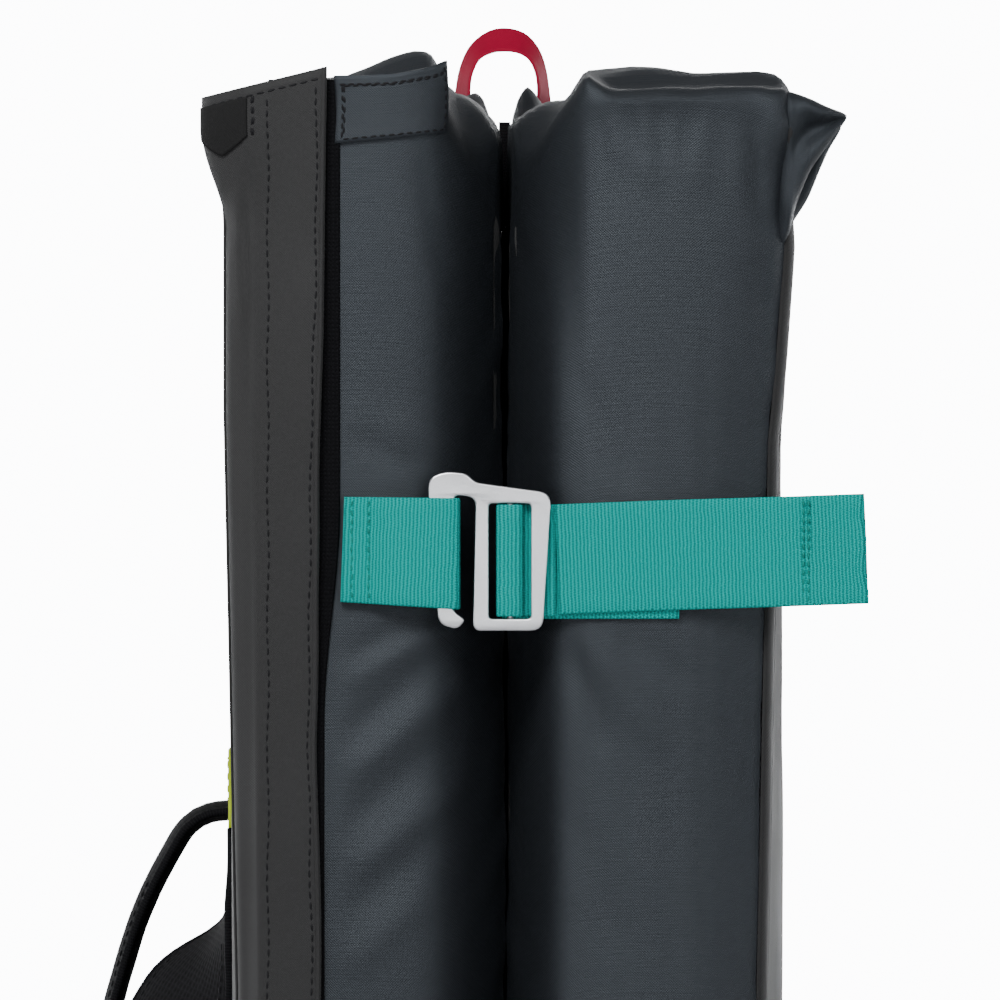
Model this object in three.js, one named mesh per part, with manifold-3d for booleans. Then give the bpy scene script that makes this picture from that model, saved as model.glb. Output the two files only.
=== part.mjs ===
// Folded bouldering crash pad, closed with hook buckles and carried on a harness. Millimetres, +Z up.
// The pad stands on its lower edge. X runs across the folded thickness, Y from the closure side (-Y)
// to the fold (+Y). The harness half lies at -X and carries the shoulder straps; the lid half lies at +X
// and swings open about the upright fold line.
import * as THREE from 'three';
import { mergeVertices } from 'three/addons/utils/BufferGeometryUtils.js';
import Module from 'manifold-3d';

const wasm = await Module();
wasm.setup();

// Driving dimensions
const SEAM_TOP = 988; // height of the top seam
const SEAM_BOTTOM = 12; // height of the bottom seam
const SEAM_DEPTH = 620; // seam to seam, from the closure side to the fold
const HALF_THICK = 96; // one padded half
const FOLD_GAP = 1; // from the fold plane to each landing face
const CORNER = 14; // radius of the cover's corners, seen square to a face
const SKIN = 2; // thickness of the cover's side band
const PANEL = 1.7; // thickness of the cover's face panels
const GAP = 0.3; // clearance between pieces that touch
const WEB = 39; // width of the closure webbing
const WEB_THICK = 1.3;
const HOOK_THICK = 3.2;
const HOOK_X = 1.8; // hook's middle bar, across the fold plane
const HOOK_HEIGHTS = { upper: 831.5, lower: 168.5 };
const STRAP_ROOT_Z = 748.5; // top of the shoulder straps
const BELT_Z = 300;
const BELT_WEB = 38;

// Derived places
const FRONT = -SEAM_DEPTH / 2; // front seam
const BACK = SEAM_DEPTH / 2;
const OUTER = FOLD_GAP + HALF_THICK; // outer face of each half
const CROWN_FRONT = FRONT - 14; // front of the puffed side band
const FOLD_Y = BACK + 15.5; // the fold's axis, just behind the band's crown
const PANEL_FACE = -OUTER - GAP; // just outside the harness half's outer face

// How far the side band stands out past the seam line, by distance from the outer face.
const BAND = [[2, 1.5], [5, 5.5], [12, 9.5], [26, 13], [44, 14], [60, 12.5], [72, 8.5], [82, 2], [88.5, -5], [93, -14]];
const BAND_INSIDE = [[92, -17], [86.8, -6.6], [80.7, 0.3], [71, 6.7], [59.6, 10.5], [44, 12], [26.2, 11], [12.6, 7.6],
  [6.4, 4], [3.6, 0.5]];

const COLOURS = {
  coatedFabric: { color: 0x2c2f36, roughness: 0.42, metalness: 0 },
  mattFabric: { color: 0x333436, roughness: 0.65, metalness: 0 },
  landingFabric: { color: 0x26282c, roughness: 0.8, metalness: 0 },
  firmFoam: { color: 0x5a5d60, roughness: 0.9, metalness: 0 },
  softFoam: { color: 0xd8d2b4, roughness: 0.95, metalness: 0 },
  tape: { color: 0x0b0c10, roughness: 1, metalness: 0 },
  tealWeb: { color: 0x169c8e, roughness: 0.75, metalness: 0 },
  redWeb: { color: 0xc41f45, roughness: 0.7, metalness: 0 },
  limeWeb: { color: 0xa9c62a, roughness: 0.7, metalness: 0 },
  blackWeb: { color: 0x121214, roughness: 0.8, metalness: 0 },
  mesh: { color: 0x101012, roughness: 0.9, metalness: 0 },
  alloy: { color: 0xdadcdf, roughness: 0.3, metalness: 0.9 },
  plastic: { color: 0x141416, roughness: 0.5, metalness: 0 },
};

const pad = new THREE.Group();

function addPiece(name, finish, geometry) {
  const mesh = new THREE.Mesh(geometry, new THREE.MeshStandardMaterial(COLOURS[finish]));
  mesh.name = name;
  pad.add(mesh);
  return mesh;
}

// ---- shape helpers ----

// Straight-sided outline, with straight-sided holes if any are given.
function polygon(points, ...holes) {
  const ring = (corners, clockwise) => {
    const path = corners.map(([a, b]) => new THREE.Vector2(a, b));
    return THREE.ShapeUtils.isClockWise(path) === clockwise ? path : path.reverse();
  };
  const shape = new THREE.Shape(ring(points, false));
  shape.holes = holes.map((hole) => new THREE.Path(ring(hole, true)));
  return shape;
}

function roundedRectangle(a0, b0, a1, b1, radius, Outline = THREE.Shape) {
  const outline = new Outline();
  outline.moveTo(a0 + radius, b0);
  outline.lineTo(a1 - radius, b0);
  outline.absarc(a1 - radius, b0 + radius, radius, -Math.PI / 2, 0);
  outline.lineTo(a1, b1 - radius);
  outline.absarc(a1 - radius, b1 - radius, radius, 0, Math.PI / 2);
  outline.lineTo(a0 + radius, b1);
  outline.absarc(a0 + radius, b1 - radius, radius, Math.PI / 2, Math.PI);
  outline.lineTo(a0, b0 + radius);
  outline.absarc(a0 + radius, b0 + radius, radius, Math.PI, Math.PI * 1.5);
  return outline;
}

// Outline in (x, y), run up from z0 to z1.
function upright(shape, z0, z1, curveSegments = 4) {
  const geometry = new THREE.ExtrudeGeometry(shape, { depth: z1 - z0, bevelEnabled: false, curveSegments });
  return geometry.translate(0, 0, z0);
}

// Outline in (y, z), run across from x0 to x1.
function acrossX(shape, x0, x1, curveSegments = 4) {
  const geometry = new THREE.ExtrudeGeometry(shape, { depth: x1 - x0, bevelEnabled: false, curveSegments });
  const turn = new THREE.Matrix4().makeBasis(
    new THREE.Vector3(0, 1, 0), new THREE.Vector3(0, 0, 1), new THREE.Vector3(1, 0, 0));
  return geometry.applyMatrix4(turn).translate(x0, 0, 0);
}

// Outline in (x, z), run from y0 back to y1.
function acrossY(shape, y0, y1, curveSegments = 4) {
  const geometry = new THREE.ExtrudeGeometry(shape, { depth: y1 - y0, bevelEnabled: false, curveSegments });
  return geometry.rotateX(Math.PI / 2).translate(0, y1, 0);
}

// Closed loops of points joined into one skin; the ends are capped, or meet when joined is true.
function skinLoops(loops, joined = false) {
  const count = loops[0].length;
  const positions = loops.flat().flatMap((p) => [p.x, p.y, p.z]);
  const index = [];
  const last = joined ? loops.length : loops.length - 1;
  for (let i = 0; i < last; i += 1) {
    const next = (i + 1) % loops.length;
    for (let j = 0; j < count; j += 1) {
      const k = (j + 1) % count;
      const [a, b, c, d] = [i * count + j, i * count + k, next * count + k, next * count + j];
      index.push(a, b, c, a, c, d);
    }
  }
  if (!joined) {
    for (let j = 1; j < count - 1; j += 1) {
      const end = (loops.length - 1) * count;
      index.push(0, j + 1, j, end, end + j, end + j + 1);
    }
  }
  const geometry = new THREE.BufferGeometry();
  geometry.setAttribute('position', new THREE.Float32BufferAttribute(positions, 3));
  geometry.setIndex(index);
  return volumeOf(geometry) < 0 ? turnedOver(geometry) : geometry;
}

function volumeOf(geometry) {
  const { position } = geometry.attributes;
  const corner = (i) => new THREE.Vector3().fromBufferAttribute(position, geometry.index.getX(i));
  let volume = 0;
  for (let i = 0; i < geometry.index.count; i += 3) {
    volume += corner(i).dot(corner(i + 1).cross(corner(i + 2))) / 6;
  }
  return volume;
}

function turnedOver(geometry) {
  const corners = geometry.index ? Array.from(geometry.index.array) : [...Array(geometry.attributes.position.count).keys()];
  for (let i = 0; i < corners.length; i += 3) {
    [corners[i + 1], corners[i + 2]] = [corners[i + 2], corners[i + 1]];
  }
  geometry.setIndex(corners);
  return geometry;
}

function mirrorX(geometry) {
  return turnedOver(geometry.clone().scale(-1, 1, 1));
}

function toSolid(geometry) {
  const bare = geometry.clone();
  bare.deleteAttribute('normal');
  bare.deleteAttribute('uv');
  const merged = mergeVertices(bare, 1e-4);
  return new wasm.Manifold(new wasm.Mesh({
    numProp: 3,
    vertProperties: new Float32Array(merged.attributes.position.array),
    triVerts: new Uint32Array(merged.index.array),
  }));
}

function toGeometry(solid) {
  const mesh = solid.getMesh();
  const geometry = new THREE.BufferGeometry();
  geometry.setAttribute('position', new THREE.BufferAttribute(new Float32Array(mesh.vertProperties), 3));
  geometry.setIndex(new THREE.BufferAttribute(new Uint32Array(mesh.triVerts), 1));
  return geometry;
}

function cut(geometry, ...tools) {
  let solid = toSolid(geometry);
  for (const tool of tools) {
    solid = solid.subtract(toSolid(tool));
  }
  return toGeometry(solid);
}

function boxBetween(x0, y0, z0, x1, y1, z1) {
  return new THREE.BoxGeometry(x1 - x0, y1 - y0, z1 - z0)
    .translate((x0 + x1) / 2, (y0 + y1) / 2, (z0 + z1) / 2);
}

// Flat strap along a route: each station has a centre, a width direction and a thickness.
function strapAlong(stations, width) {
  const loops = stations.map(({ at, across, thick, wide = width }, i) => {
    const centre = new THREE.Vector3(...at);
    const before = new THREE.Vector3(...stations[Math.max(0, i - 1)].at);
    const after = new THREE.Vector3(...stations[Math.min(stations.length - 1, i + 1)].at);
    const along = after.sub(before).normalize();
    const side = new THREE.Vector3(...across);
    side.addScaledVector(along, -side.dot(along)).normalize();
    const out = new THREE.Vector3().crossVectors(along, side);
    const edge = wide / 2 - thick * 0.3;
    const corners = [[-wide / 2, -0.2], [-edge, -0.5], [edge, -0.5], [wide / 2, -0.2],
      [wide / 2, 0.2], [edge, 0.5], [-edge, 0.5], [-wide / 2, 0.2]];
    return corners.map(([s, t]) => centre.clone().addScaledVector(side, s).addScaledVector(out, t * thick));
  });
  return skinLoops(loops);
}

// ---- padded halves, drawn for the harness half at -X ----

function bandPoints(offset, x) {
  const half = [BACK + offset, (SEAM_TOP - SEAM_BOTTOM) / 2 + offset];
  const middle = (SEAM_TOP + SEAM_BOTTOM) / 2;
  const arcSteps = 4;
  const loop = [];
  [[1, 1], [-1, 1], [-1, -1], [1, -1]].forEach(([sy, sz], quarter) => {
    for (let s = 0; s <= arcSteps; s += 1) {
      const angle = (quarter + s / arcSteps) * Math.PI / 2;
      const y = sy * (half[0] - CORNER) + CORNER * Math.cos(angle);
      const z = middle + sz * (half[1] - CORNER) + CORNER * Math.sin(angle);
      loop.push([x, y, z]);
    }
  });
  return loop;
}

// The side band: a puffed fabric ring round the foam, flat where it stands on the ground.
function sideBand() {
  const rows = [...BAND.map((p) => [...p, 0]), ...BAND_INSIDE.map((p) => [...p, SKIN])]
    .map(([u, offset, floor]) => bandPoints(offset, -OUTER + u)
      .map(([x, y, z]) => new THREE.Vector3(x, y, Math.max(z, floor))));
  const loops = rows[0].map((_, station) => rows.map((row) => row[station]));
  return skinLoops(loops, true);
}

function facePanel(inset, x0, x1) {
  const outline = roundedRectangle(FRONT + inset, SEAM_BOTTOM + inset, BACK - inset, SEAM_TOP - inset, CORNER);
  return acrossX(outline, x0, x1);
}

function foamLayer(inset, z0, u0, u1) {
  const outline = roundedRectangle(FRONT + inset, z0, BACK - inset, SEAM_TOP - inset, CORNER - 4);
  return acrossX(outline, -OUTER + u0, -OUTER + u1, 3);
}

const band = sideBand();
// The foam goes in through a slot along the closure side, under the flap.
const foamSlot = boxBetween(-OUTER + 3.5, FRONT - 12, 40, -OUTER + 11, FRONT + 6, 950);
const shells = {
  gusset: ['coatedFabric', band],
  outer_panel: ['mattFabric', facePanel(0.3, -OUTER, -OUTER + PANEL)],
  landing_panel: ['landingFabric', facePanel(15, -OUTER + 93.4, -OUTER + 95)],
  base_foam: ['firmFoam', foamLayer(4, 16.5, 2.1, 18)],
  core_foam: ['softFoam', foamLayer(0, 4.5, 18.4, 68)],
  firm_foam: ['firmFoam', foamLayer(19.5, 32, 68.4, 92.9)],
};
for (const [piece, [finish, geometry]] of Object.entries(shells)) {
  addPiece(`harness_${piece}`, finish, piece === 'gusset' ? cut(geometry, foamSlot) : geometry);
  addPiece(`lid_${piece}`, finish, mirrorX(geometry));
}

// Slack cover gathered into a loose ear at the lid's top corner.
addPiece('lid_corner_ear', 'coatedFabric', acrossY(
  polygon([[97.3, 996], [112, 993], [118.5, 985], [109, 968], [100.5, 950], [97.3, 950]]), -306, -262));

// ---- fold: a piped seam with a tape to each half ----

addPiece('fold_piping', 'blackWeb', new THREE.CylinderGeometry(2, 2, 950, 10).rotateX(Math.PI / 2)
  .translate(0, FOLD_Y, 500));
const foldTape = upright(polygon([[-1.8, FOLD_Y - 2.9], [-2.9, FOLD_Y - 1.8], [-15.4, FOLD_Y - 11], [-14.5, FOLD_Y - 12.6]]),
  40, 950);
addPiece('harness_fold_tape', 'blackWeb', foldTape);
addPiece('lid_fold_tape', 'blackWeb', mirrorX(foldTape));

// ---- closure flap with its hook-and-loop tape ----

// A strip that follows the front of the side band, between two distances from the outer face.
function frontStrip(points, lift, thick) {
  const face = points.map(([u, offset]) => [-OUTER + u, FRONT - offset - lift]);
  const back = face.map(([x, y]) => [x, y - thick]).reverse();
  return polygon([...face, ...back]);
}

addPiece('loop_tape', 'tape', upright(frontStrip([[13.5, 10], [20, 11.7], [26, 13], [36.5, 13.6]], GAP, 1.1), 30, 972));
addPiece('hook_tape', 'tape', upright(frontStrip([[15, 10.5], [20, 11.7], [26, 13], [31, 13.4]], 1.7, 1.1), 30, 972));
addPiece('closure_flap', 'mattFabric',
  upright(frontStrip([[-1.6, -2.2], [0.5, 2.8], [5, 6.7], [12, 10], [20, 11.9], [26, 13], [33.3, 13.7]], 3.2, 1.5), 24, 1003));

addPiece('flap_corner_patch', 'mattFabric',
  upright(frontStrip([[-1, -0.7], [0.5, 2.8], [5, 6.7], [8.5, 8.4]], 5, 1.2), 974, 996));

// Doubled and stitched tab that stands above the seam beside the flap.
addPiece('top_tab', 'mattFabric', acrossY(polygon([[-58.4, 981], [-20.5, 986], [-20.5, 1007], [-58.4, 1002]]),
  CROWN_FRONT - 2, CROWN_FRONT - GAP));

// ---- shoulder harness ----

const PATCHES = { near: [-96, -28, 738.5], far: [28, 96, 751.5] };
for (const [side, [y0, y1, z0]] of Object.entries(PATCHES)) {
  addPiece(`${side}_root_patch`, 'limeWeb', boxBetween(PANEL_FACE - 1.5, y0, z0, PANEL_FACE, y1, 763));
}

const ALONG_Y = [0, 1, 0];
addPiece('far_shoulder_pad', 'mesh', strapAlong([
  { at: [PANEL_FACE - 0.4, 62, 744], across: ALONG_Y, thick: 7.6 },
  { at: [-108, 62, 743.4], across: ALONG_Y, thick: 7.8 },
  { at: [-114.6, 62, 739.6], across: ALONG_Y, thick: 7.6 },
  { at: [-119.4, 62, 732], across: ALONG_Y, thick: 7.4 },
  { at: [-128.6, 62, 712], across: ALONG_Y, thick: 7.2 },
  { at: [-137.5, 63, 683], across: ALONG_Y, thick: 7 },
  { at: [-147, 64, 640], across: ALONG_Y, thick: 7 },
  { at: [-152.6, 67, 590], across: ALONG_Y, thick: 7 },
  { at: [-153.5, 71, 535], across: ALONG_Y, thick: 7 },
  { at: [-149.6, 76, 485], across: ALONG_Y, thick: 7 },
  { at: [-143.6, 80, 450], across: ALONG_Y, thick: 6, wide: 44 },
], 60));
addPiece('near_shoulder_pad', 'mesh', strapAlong([
  { at: [PANEL_FACE - 1.2, -62, 735], across: ALONG_Y, thick: 1.8 },
  { at: [PANEL_FACE - 1.2, -62, 722], across: ALONG_Y, thick: 1.8 },
  { at: [PANEL_FACE - 2.6, -62, 707], across: ALONG_Y, thick: 2.4, wide: 57 },
  { at: [-107.4, -62, 694], across: [-0.2, 1, 0], thick: 5, wide: 58 },
  { at: [-117.5, -62, 675], across: [-0.45, 1, 0], thick: 7 },
  { at: [-129, -63, 645], across: [-0.4, 1, 0], thick: 7 },
  { at: [-138.5, -65, 605], across: [-0.2, 1, 0], thick: 7 },
  { at: [-143.6, -69, 555], across: ALONG_Y, thick: 7 },
  { at: [-144.4, -74, 500], across: ALONG_Y, thick: 7 },
  { at: [-142.6, -80, 450], across: ALONG_Y, thick: 6, wide: 44 },
], 60));

// Adjusting buckle under each pad, its web down to the panel, and the sewn triangle that holds the web.
function ladderLock() {
  const frame = roundedRectangle(-17, -12, 17, 12, 3);
  frame.holes.push(
    roundedRectangle(-13, 2.4, 13, 6, 1, THREE.Path), roundedRectangle(-13, -6, 13, -2.4, 1, THREE.Path));
  return acrossX(frame, -2, 2, 2);
}
for (const [side, sy] of [['near', -1], ['far', 1]]) {
  addPiece(`${side}_ladder_lock`, 'plastic', ladderLock().rotateY(-0.14).translate(-141.6, sy * 80.5, 436));
  addPiece(`${side}_shoulder_web`, 'blackWeb', strapAlong([
    { at: [-136.4, sy * 81, 436], across: ALONG_Y, thick: 1.6 },
    { at: [-132, sy * 84, 414], across: ALONG_Y, thick: 1.6 },
    { at: [-118, sy * 92, 378], across: ALONG_Y, thick: 1.6 },
    { at: [-103.6, sy * 99, 349], across: ALONG_Y, thick: 1.6 },
    { at: [-100.4, sy * 101, 338], across: ALONG_Y, thick: 1.6 },
  ], 25));
  const triangle = polygon([[sy * 82, 333.5], [sy * 120, 333.5], [sy * 132, 322.5], [sy * 70, 322.5]]);
  addPiece(`${side}_anchor_tab`, 'mattFabric', acrossX(triangle, PANEL_FACE - 2.4, PANEL_FACE));
}

// ---- hip belt, buckled in front of the panel ----

const BUCKLE_X = -143;
for (const [side, sy] of [['near', -1], ['far', 1]]) {
  const route = [[PANEL_FACE - 1.4, 176], [PANEL_FACE - 1.5, 150], [-104, 132], [-120, 104], [-134, 72], [BUCKLE_X, 32]];
  addPiece(`${side}_hip_web`, 'blackWeb', strapAlong(route.map(([x, y]) => (
    { at: [x, sy * y, BELT_Z], across: [0, 0, 1], thick: 2 })), BELT_WEB));
}
const socketOuter = boxBetween(BUCKLE_X - 5.5, -30, BELT_Z - 24, BUCKLE_X + 5.5, 3, BELT_Z + 24);
const socketPocket = boxBetween(BUCKLE_X - 3.1, -22, BELT_Z - 19.5, BUCKLE_X + 3.1, 9, BELT_Z + 19.5);
addPiece('hip_buckle_socket', 'plastic', cut(socketOuter, socketPocket));
const plugOutline = polygon([[31, -22], [31, 22], [7, 22], [3.6, 18.5], [-13, 18.5], [-19, 13], [-13, 12.6], [3.6, 12.6],
  [3.6, 2.5], [-14, 1.6], [-14, -1.6], [3.6, -2.5], [3.6, -12.6], [-13, -12.6], [-19, -13], [-13, -18.5], [3.6, -18.5],
  [7, -22]].map(([y, z]) => [y, z + BELT_Z]));
addPiece('hip_buckle_plug', 'plastic', acrossX(plugOutline, BUCKLE_X - 2.6, BUCKLE_X + 2.6));

// ---- closure straps: a sewn catch loop, a hook on an adjustable strap, and the strap's free tail ----

// Depths of the layers in front of the side band, from the band outwards.
const LAYER_BASE = CROWN_FRONT - GAP; // strap sewn to the lid half
const LAYER_TAIL = LAYER_BASE - WEB_THICK - GAP; // tail lying over it
const LAYER_HOOK = LAYER_TAIL - WEB_THICK - 0.4; // back of the hook plate

// Outline of the hook, seen from the front, about the middle of its webbing bar.
function hookOutline() {
  const outline = new THREE.Shape();
  outline.moveTo(-10.4, -24.7);
  outline.lineTo(8, -24.7);
  outline.quadraticCurveTo(11.4, -24.7, 11.8, -20.5);
  outline.lineTo(14.3, 19);
  outline.quadraticCurveTo(14.4, 23.9, 10.4, 24.5);
  outline.lineTo(-12.6, 27.9);
  outline.quadraticCurveTo(-14.4, 31, -17, 31.2);
  outline.lineTo(-23, 31.8);
  outline.quadraticCurveTo(-28.9, 29.6, -28.9, 23);
  outline.lineTo(-25.9, -15);
  outline.quadraticCurveTo(-25.2, -23, -20.5, -23.4);
  outline.quadraticCurveTo(-17.2, -23.4, -15.8, -20.8);
  outline.quadraticCurveTo(-16.6, -18.6, -18.6, -18);
  outline.quadraticCurveTo(-20.4, -17.4, -20.4, -14);
  outline.lineTo(-19.6, 21.8);
  outline.quadraticCurveTo(-19.6, 23.4, -18, 23.4);
  outline.lineTo(-14.6, 22.8);
  outline.quadraticCurveTo(-12, 22.2, -12, 18);
  outline.lineTo(-13.2, -20.5);
  outline.quadraticCurveTo(-13.2, -24.7, -10.4, -24.7);
  outline.holes.push(
    roundedRectangle(-7.5, -20.4, -3, 20.4, 1, THREE.Path), roundedRectangle(3, -20.4, 7.3, 20.4, 1, THREE.Path));
  return outline;
}

function hookPlate() {
  const plate = acrossY(hookOutline(), LAYER_HOOK - HOOK_THICK, LAYER_HOOK, 3);
  // The middle bar is thinner than the frame, so that the webbing round it lies level with the front.
  const recess = boxBetween(-4, LAYER_HOOK - HOOK_THICK - 1, -20.2, 4, LAYER_HOOK - 2, 20.2);
  return cut(plate, recess);
}

// The strap's turn round the middle bar, with the short leg that leads back under the frame.
function strapTurn() {
  const inner = 3.3;
  const outer = inner + WEB_THICK;
  const back = LAYER_TAIL;
  const front = LAYER_HOOK - 2 - GAP - WEB_THICK;
  const wrap = [[-outer, back - 1.2], [-outer + 1.2, back], [15.7, back], [15.7, back - WEB_THICK],
    [outer, back - WEB_THICK], [outer, front + 1], [outer - 1, front], [-outer + 1, front], [-outer, front + 1]];
  const bar = [[-inner, back - WEB_THICK], [inner, back - WEB_THICK], [inner, front + WEB_THICK],
    [-inner, front + WEB_THICK]];
  return upright(polygon(wrap, bar), -WEB / 2, WEB / 2);
}

// Flat loop of webbing sewn to the harness half; the hook's tongue passes down through it.
function catchLoop() {
  const back = LAYER_BASE;
  const rear = LAYER_HOOK + 0.4; // rear wall of the loop's opening
  const front = LAYER_HOOK - HOOK_THICK - 0.4;
  const end = -16.1 - HOOK_X;
  const wrap = [[-59.5, back], [-48, back], [-44, rear + WEB_THICK], [end - 1.4, rear + WEB_THICK], [end, rear],
    [end, front], [end - 1.4, front - WEB_THICK], [-41, front - WEB_THICK], [-48, back - 2 * WEB_THICK],
    [-59.5, back - 2 * WEB_THICK]];
  const room = [[-45.5, rear - 0.4], [-42, rear], [end - WEB_THICK - 0.3, rear], [end - WEB_THICK, rear - 0.6],
    [end - WEB_THICK, front + 0.6], [end - WEB_THICK - 0.3, front], [-40.5, front]];
  return upright(polygon(wrap, room), -16.9, -16.9 + WEB);
}

for (const [level, height] of Object.entries(HOOK_HEIGHTS)) {
  const straps = {
    catch_loop: ['tealWeb', catchLoop()],
    hook: ['alloy', hookPlate()],
    strap_turn: ['tealWeb', strapTurn()],
    strap_base: ['tealWeb', boxBetween(-3, LAYER_BASE - WEB_THICK, -WEB / 2, 60, LAYER_BASE, WEB / 2)],
    strap_tail: ['tealWeb', boxBetween(17.8, LAYER_TAIL - WEB_THICK, -WEB / 2, 127.4, LAYER_TAIL, WEB / 2)],
  };
  for (const [piece, [finish, geometry]] of Object.entries(straps)) {
    addPiece(`${level}_${piece}`, finish, geometry).position.set(HOOK_X, 0, height);
  }
}

// ---- hang loop at the top of the fold ----

const loopOutline = new THREE.Shape();
loopOutline.moveTo(-17.2, 986);
loopOutline.bezierCurveTo(-14.5, 1001, -15, 1024, 0, 1024.5);
loopOutline.bezierCurveTo(15, 1024, 16.5, 1001, 17.2, 986);
loopOutline.lineTo(15.9, 986);
loopOutline.bezierCurveTo(15.2, 1001, 13.8, 1022.7, 0, 1023.2);
loopOutline.bezierCurveTo(-13.8, 1022.7, -13.2, 1001, -15.9, 986);
addPiece('hang_loop', 'redWeb', acrossY(loopOutline, FOLD_Y - 14, FOLD_Y - 2, 8));

// ---- carry handle at mid height on the lid half's closure side ----

const HANDLE_X = 48;
const handleSpans = {
  lower_handle_tab: [[425, 1.5], [450, 1.5], [458, 3.4]],
  carry_handle: [[459.5, 5.4], [476, 19], [494, 26.5], [516, 26.5], [534, 19], [550.5, 5.4]],
  upper_handle_tab: [[552, 3.4], [560, 1.5], [585, 1.5]],
};
for (const [piece, route] of Object.entries(handleSpans)) {
  addPiece(piece, 'blackWeb', strapAlong(route.map(([z, out]) => (
    { at: [HANDLE_X, CROWN_FRONT - out, z], across: [1, 0, 0], thick: 2 })), 25));
}
const grip = cut(boxBetween(HANDLE_X - 15.5, CROWN_FRONT - 31.5, 491, HANDLE_X + 15.5, CROWN_FRONT - 21.5, 519),
  boxBetween(HANDLE_X - 13.2, CROWN_FRONT - 28.8, 480, HANDLE_X + 13.2, CROWN_FRONT - 23.2, 530));
addPiece('handle_grip', 'mesh', grip);

// The origin is the middle of the whole object's footprint, straps included.
const extent = new THREE.Box3().setFromObject(pad);
pad.position.set(-(extent.min.x + extent.max.x) / 2, -(extent.min.y + extent.max.y) / 2, -extent.min.z);

export default pad;
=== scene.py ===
"""Folded bouldering crash pad: sewn covers, closure straps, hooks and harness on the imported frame."""

import math

import bmesh
import bpy
import numpy as np
from bpy.props import FloatProperty, FloatVectorProperty, PointerProperty
from bpy.types import Operator, Panel, PropertyGroup
from mathutils import Matrix, Vector, noise


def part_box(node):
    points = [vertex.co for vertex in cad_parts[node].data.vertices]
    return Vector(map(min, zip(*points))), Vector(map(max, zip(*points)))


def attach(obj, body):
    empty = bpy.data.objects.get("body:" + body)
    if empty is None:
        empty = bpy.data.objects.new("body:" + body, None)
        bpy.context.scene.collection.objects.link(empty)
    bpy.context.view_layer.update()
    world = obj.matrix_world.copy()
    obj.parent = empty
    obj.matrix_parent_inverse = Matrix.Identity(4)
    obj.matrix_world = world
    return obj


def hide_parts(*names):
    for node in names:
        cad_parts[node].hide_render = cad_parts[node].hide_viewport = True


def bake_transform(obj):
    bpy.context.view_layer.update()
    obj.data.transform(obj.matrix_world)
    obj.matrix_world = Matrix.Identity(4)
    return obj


bl_info = {
    "name": "Folded Crash Pad",
    "version": (1, 0, 0),
    "blender": (4, 5, 0),
    "location": "View3D > Sidebar > Crash Pad",
    "description": "Builds the covers, straps, hooks and harness of a folded bouldering crash pad",
    "category": "Add Mesh",
}

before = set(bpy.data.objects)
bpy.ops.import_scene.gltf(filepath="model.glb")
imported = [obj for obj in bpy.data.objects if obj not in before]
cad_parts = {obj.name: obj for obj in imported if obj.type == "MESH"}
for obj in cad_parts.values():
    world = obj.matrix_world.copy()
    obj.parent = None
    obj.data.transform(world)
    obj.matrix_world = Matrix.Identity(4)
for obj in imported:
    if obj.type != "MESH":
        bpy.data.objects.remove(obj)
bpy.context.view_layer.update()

# Shapes are drawn in millimetres from the fold plane (x), the middle of the depth (y) and the ground (z).
HALF_DEPTH = 310.0  # middle to the front and back seams
SEAM_LOW, SEAM_TOP = 12.0, 988.0
OUTER = 97.0  # fold plane to an outer face
FOLD_Y = 325.5
CORNER, LID_CORNER = 14.0, 9.0
SLOT_LOW, SLOT_TOP = 44, 946  # ends of the opening that the foam goes through
SLOT_NEAR, SLOT_FAR = 4.2, 10  # its edges, from the outer face
FRONT = -324.0  # crown of the side bands on the closure side
GROUND_GAP = 0.15  # lowest cloth above the ground
FRONTWARD = np.array([0, -1.0, 0])
HOOK_HEIGHTS = {"upper": 831.5, "lower": 168.5}
BUCKLE_X, BELT_Z = -143.0, 300.0

fold_low, fold_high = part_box("fold_piping")
ORIGIN = np.array([(fold_low.x + fold_high.x) / 2, (fold_low.y + fold_high.y) / 2 - FOLD_Y / 1000, 0.0])


# ---- sizes and colours that a maker would change ----


def length_mm(name, description, default):
    return FloatProperty(name=name, description=description, default=default / 1000, unit="LENGTH",
                         precision=5)


def colour(name, description, default):
    return FloatVectorProperty(name=name, description=description, default=default, subtype="COLOR", size=3,
                               min=0.0, max=1.0)


class PadSizes(PropertyGroup):
    stitch: length_mm("Stitch length", "Length of one visible stitch on the covers", 2.7)
    stitch_gap: length_mm("Stitch gap", "Space between two stitches", 1.1)
    thread: length_mm("Thread thickness", "Thickness of the sewing thread", 0.75)
    web_width: length_mm("Closure webbing", "Width of the closure webbing", 39.0)
    web_thick: length_mm("Webbing thickness", "Thickness of the closure webbing", 1.4)
    hook_thick: length_mm("Hook thickness", "Thickness of the flat metal hook", 3.2)
    hook_edge: length_mm("Hook edge radius", "Rounding of the hook's edges", 0.75)
    weave: length_mm("Cover weave", "Distance between threads of the cover", 0.9)
    pucker: length_mm("Seam pucker", "Depth of the small puckers along the cover seams", 0.55)
    pad_thick: length_mm("Shoulder pad", "Thickness of the shoulder pads", 7.4)


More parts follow.
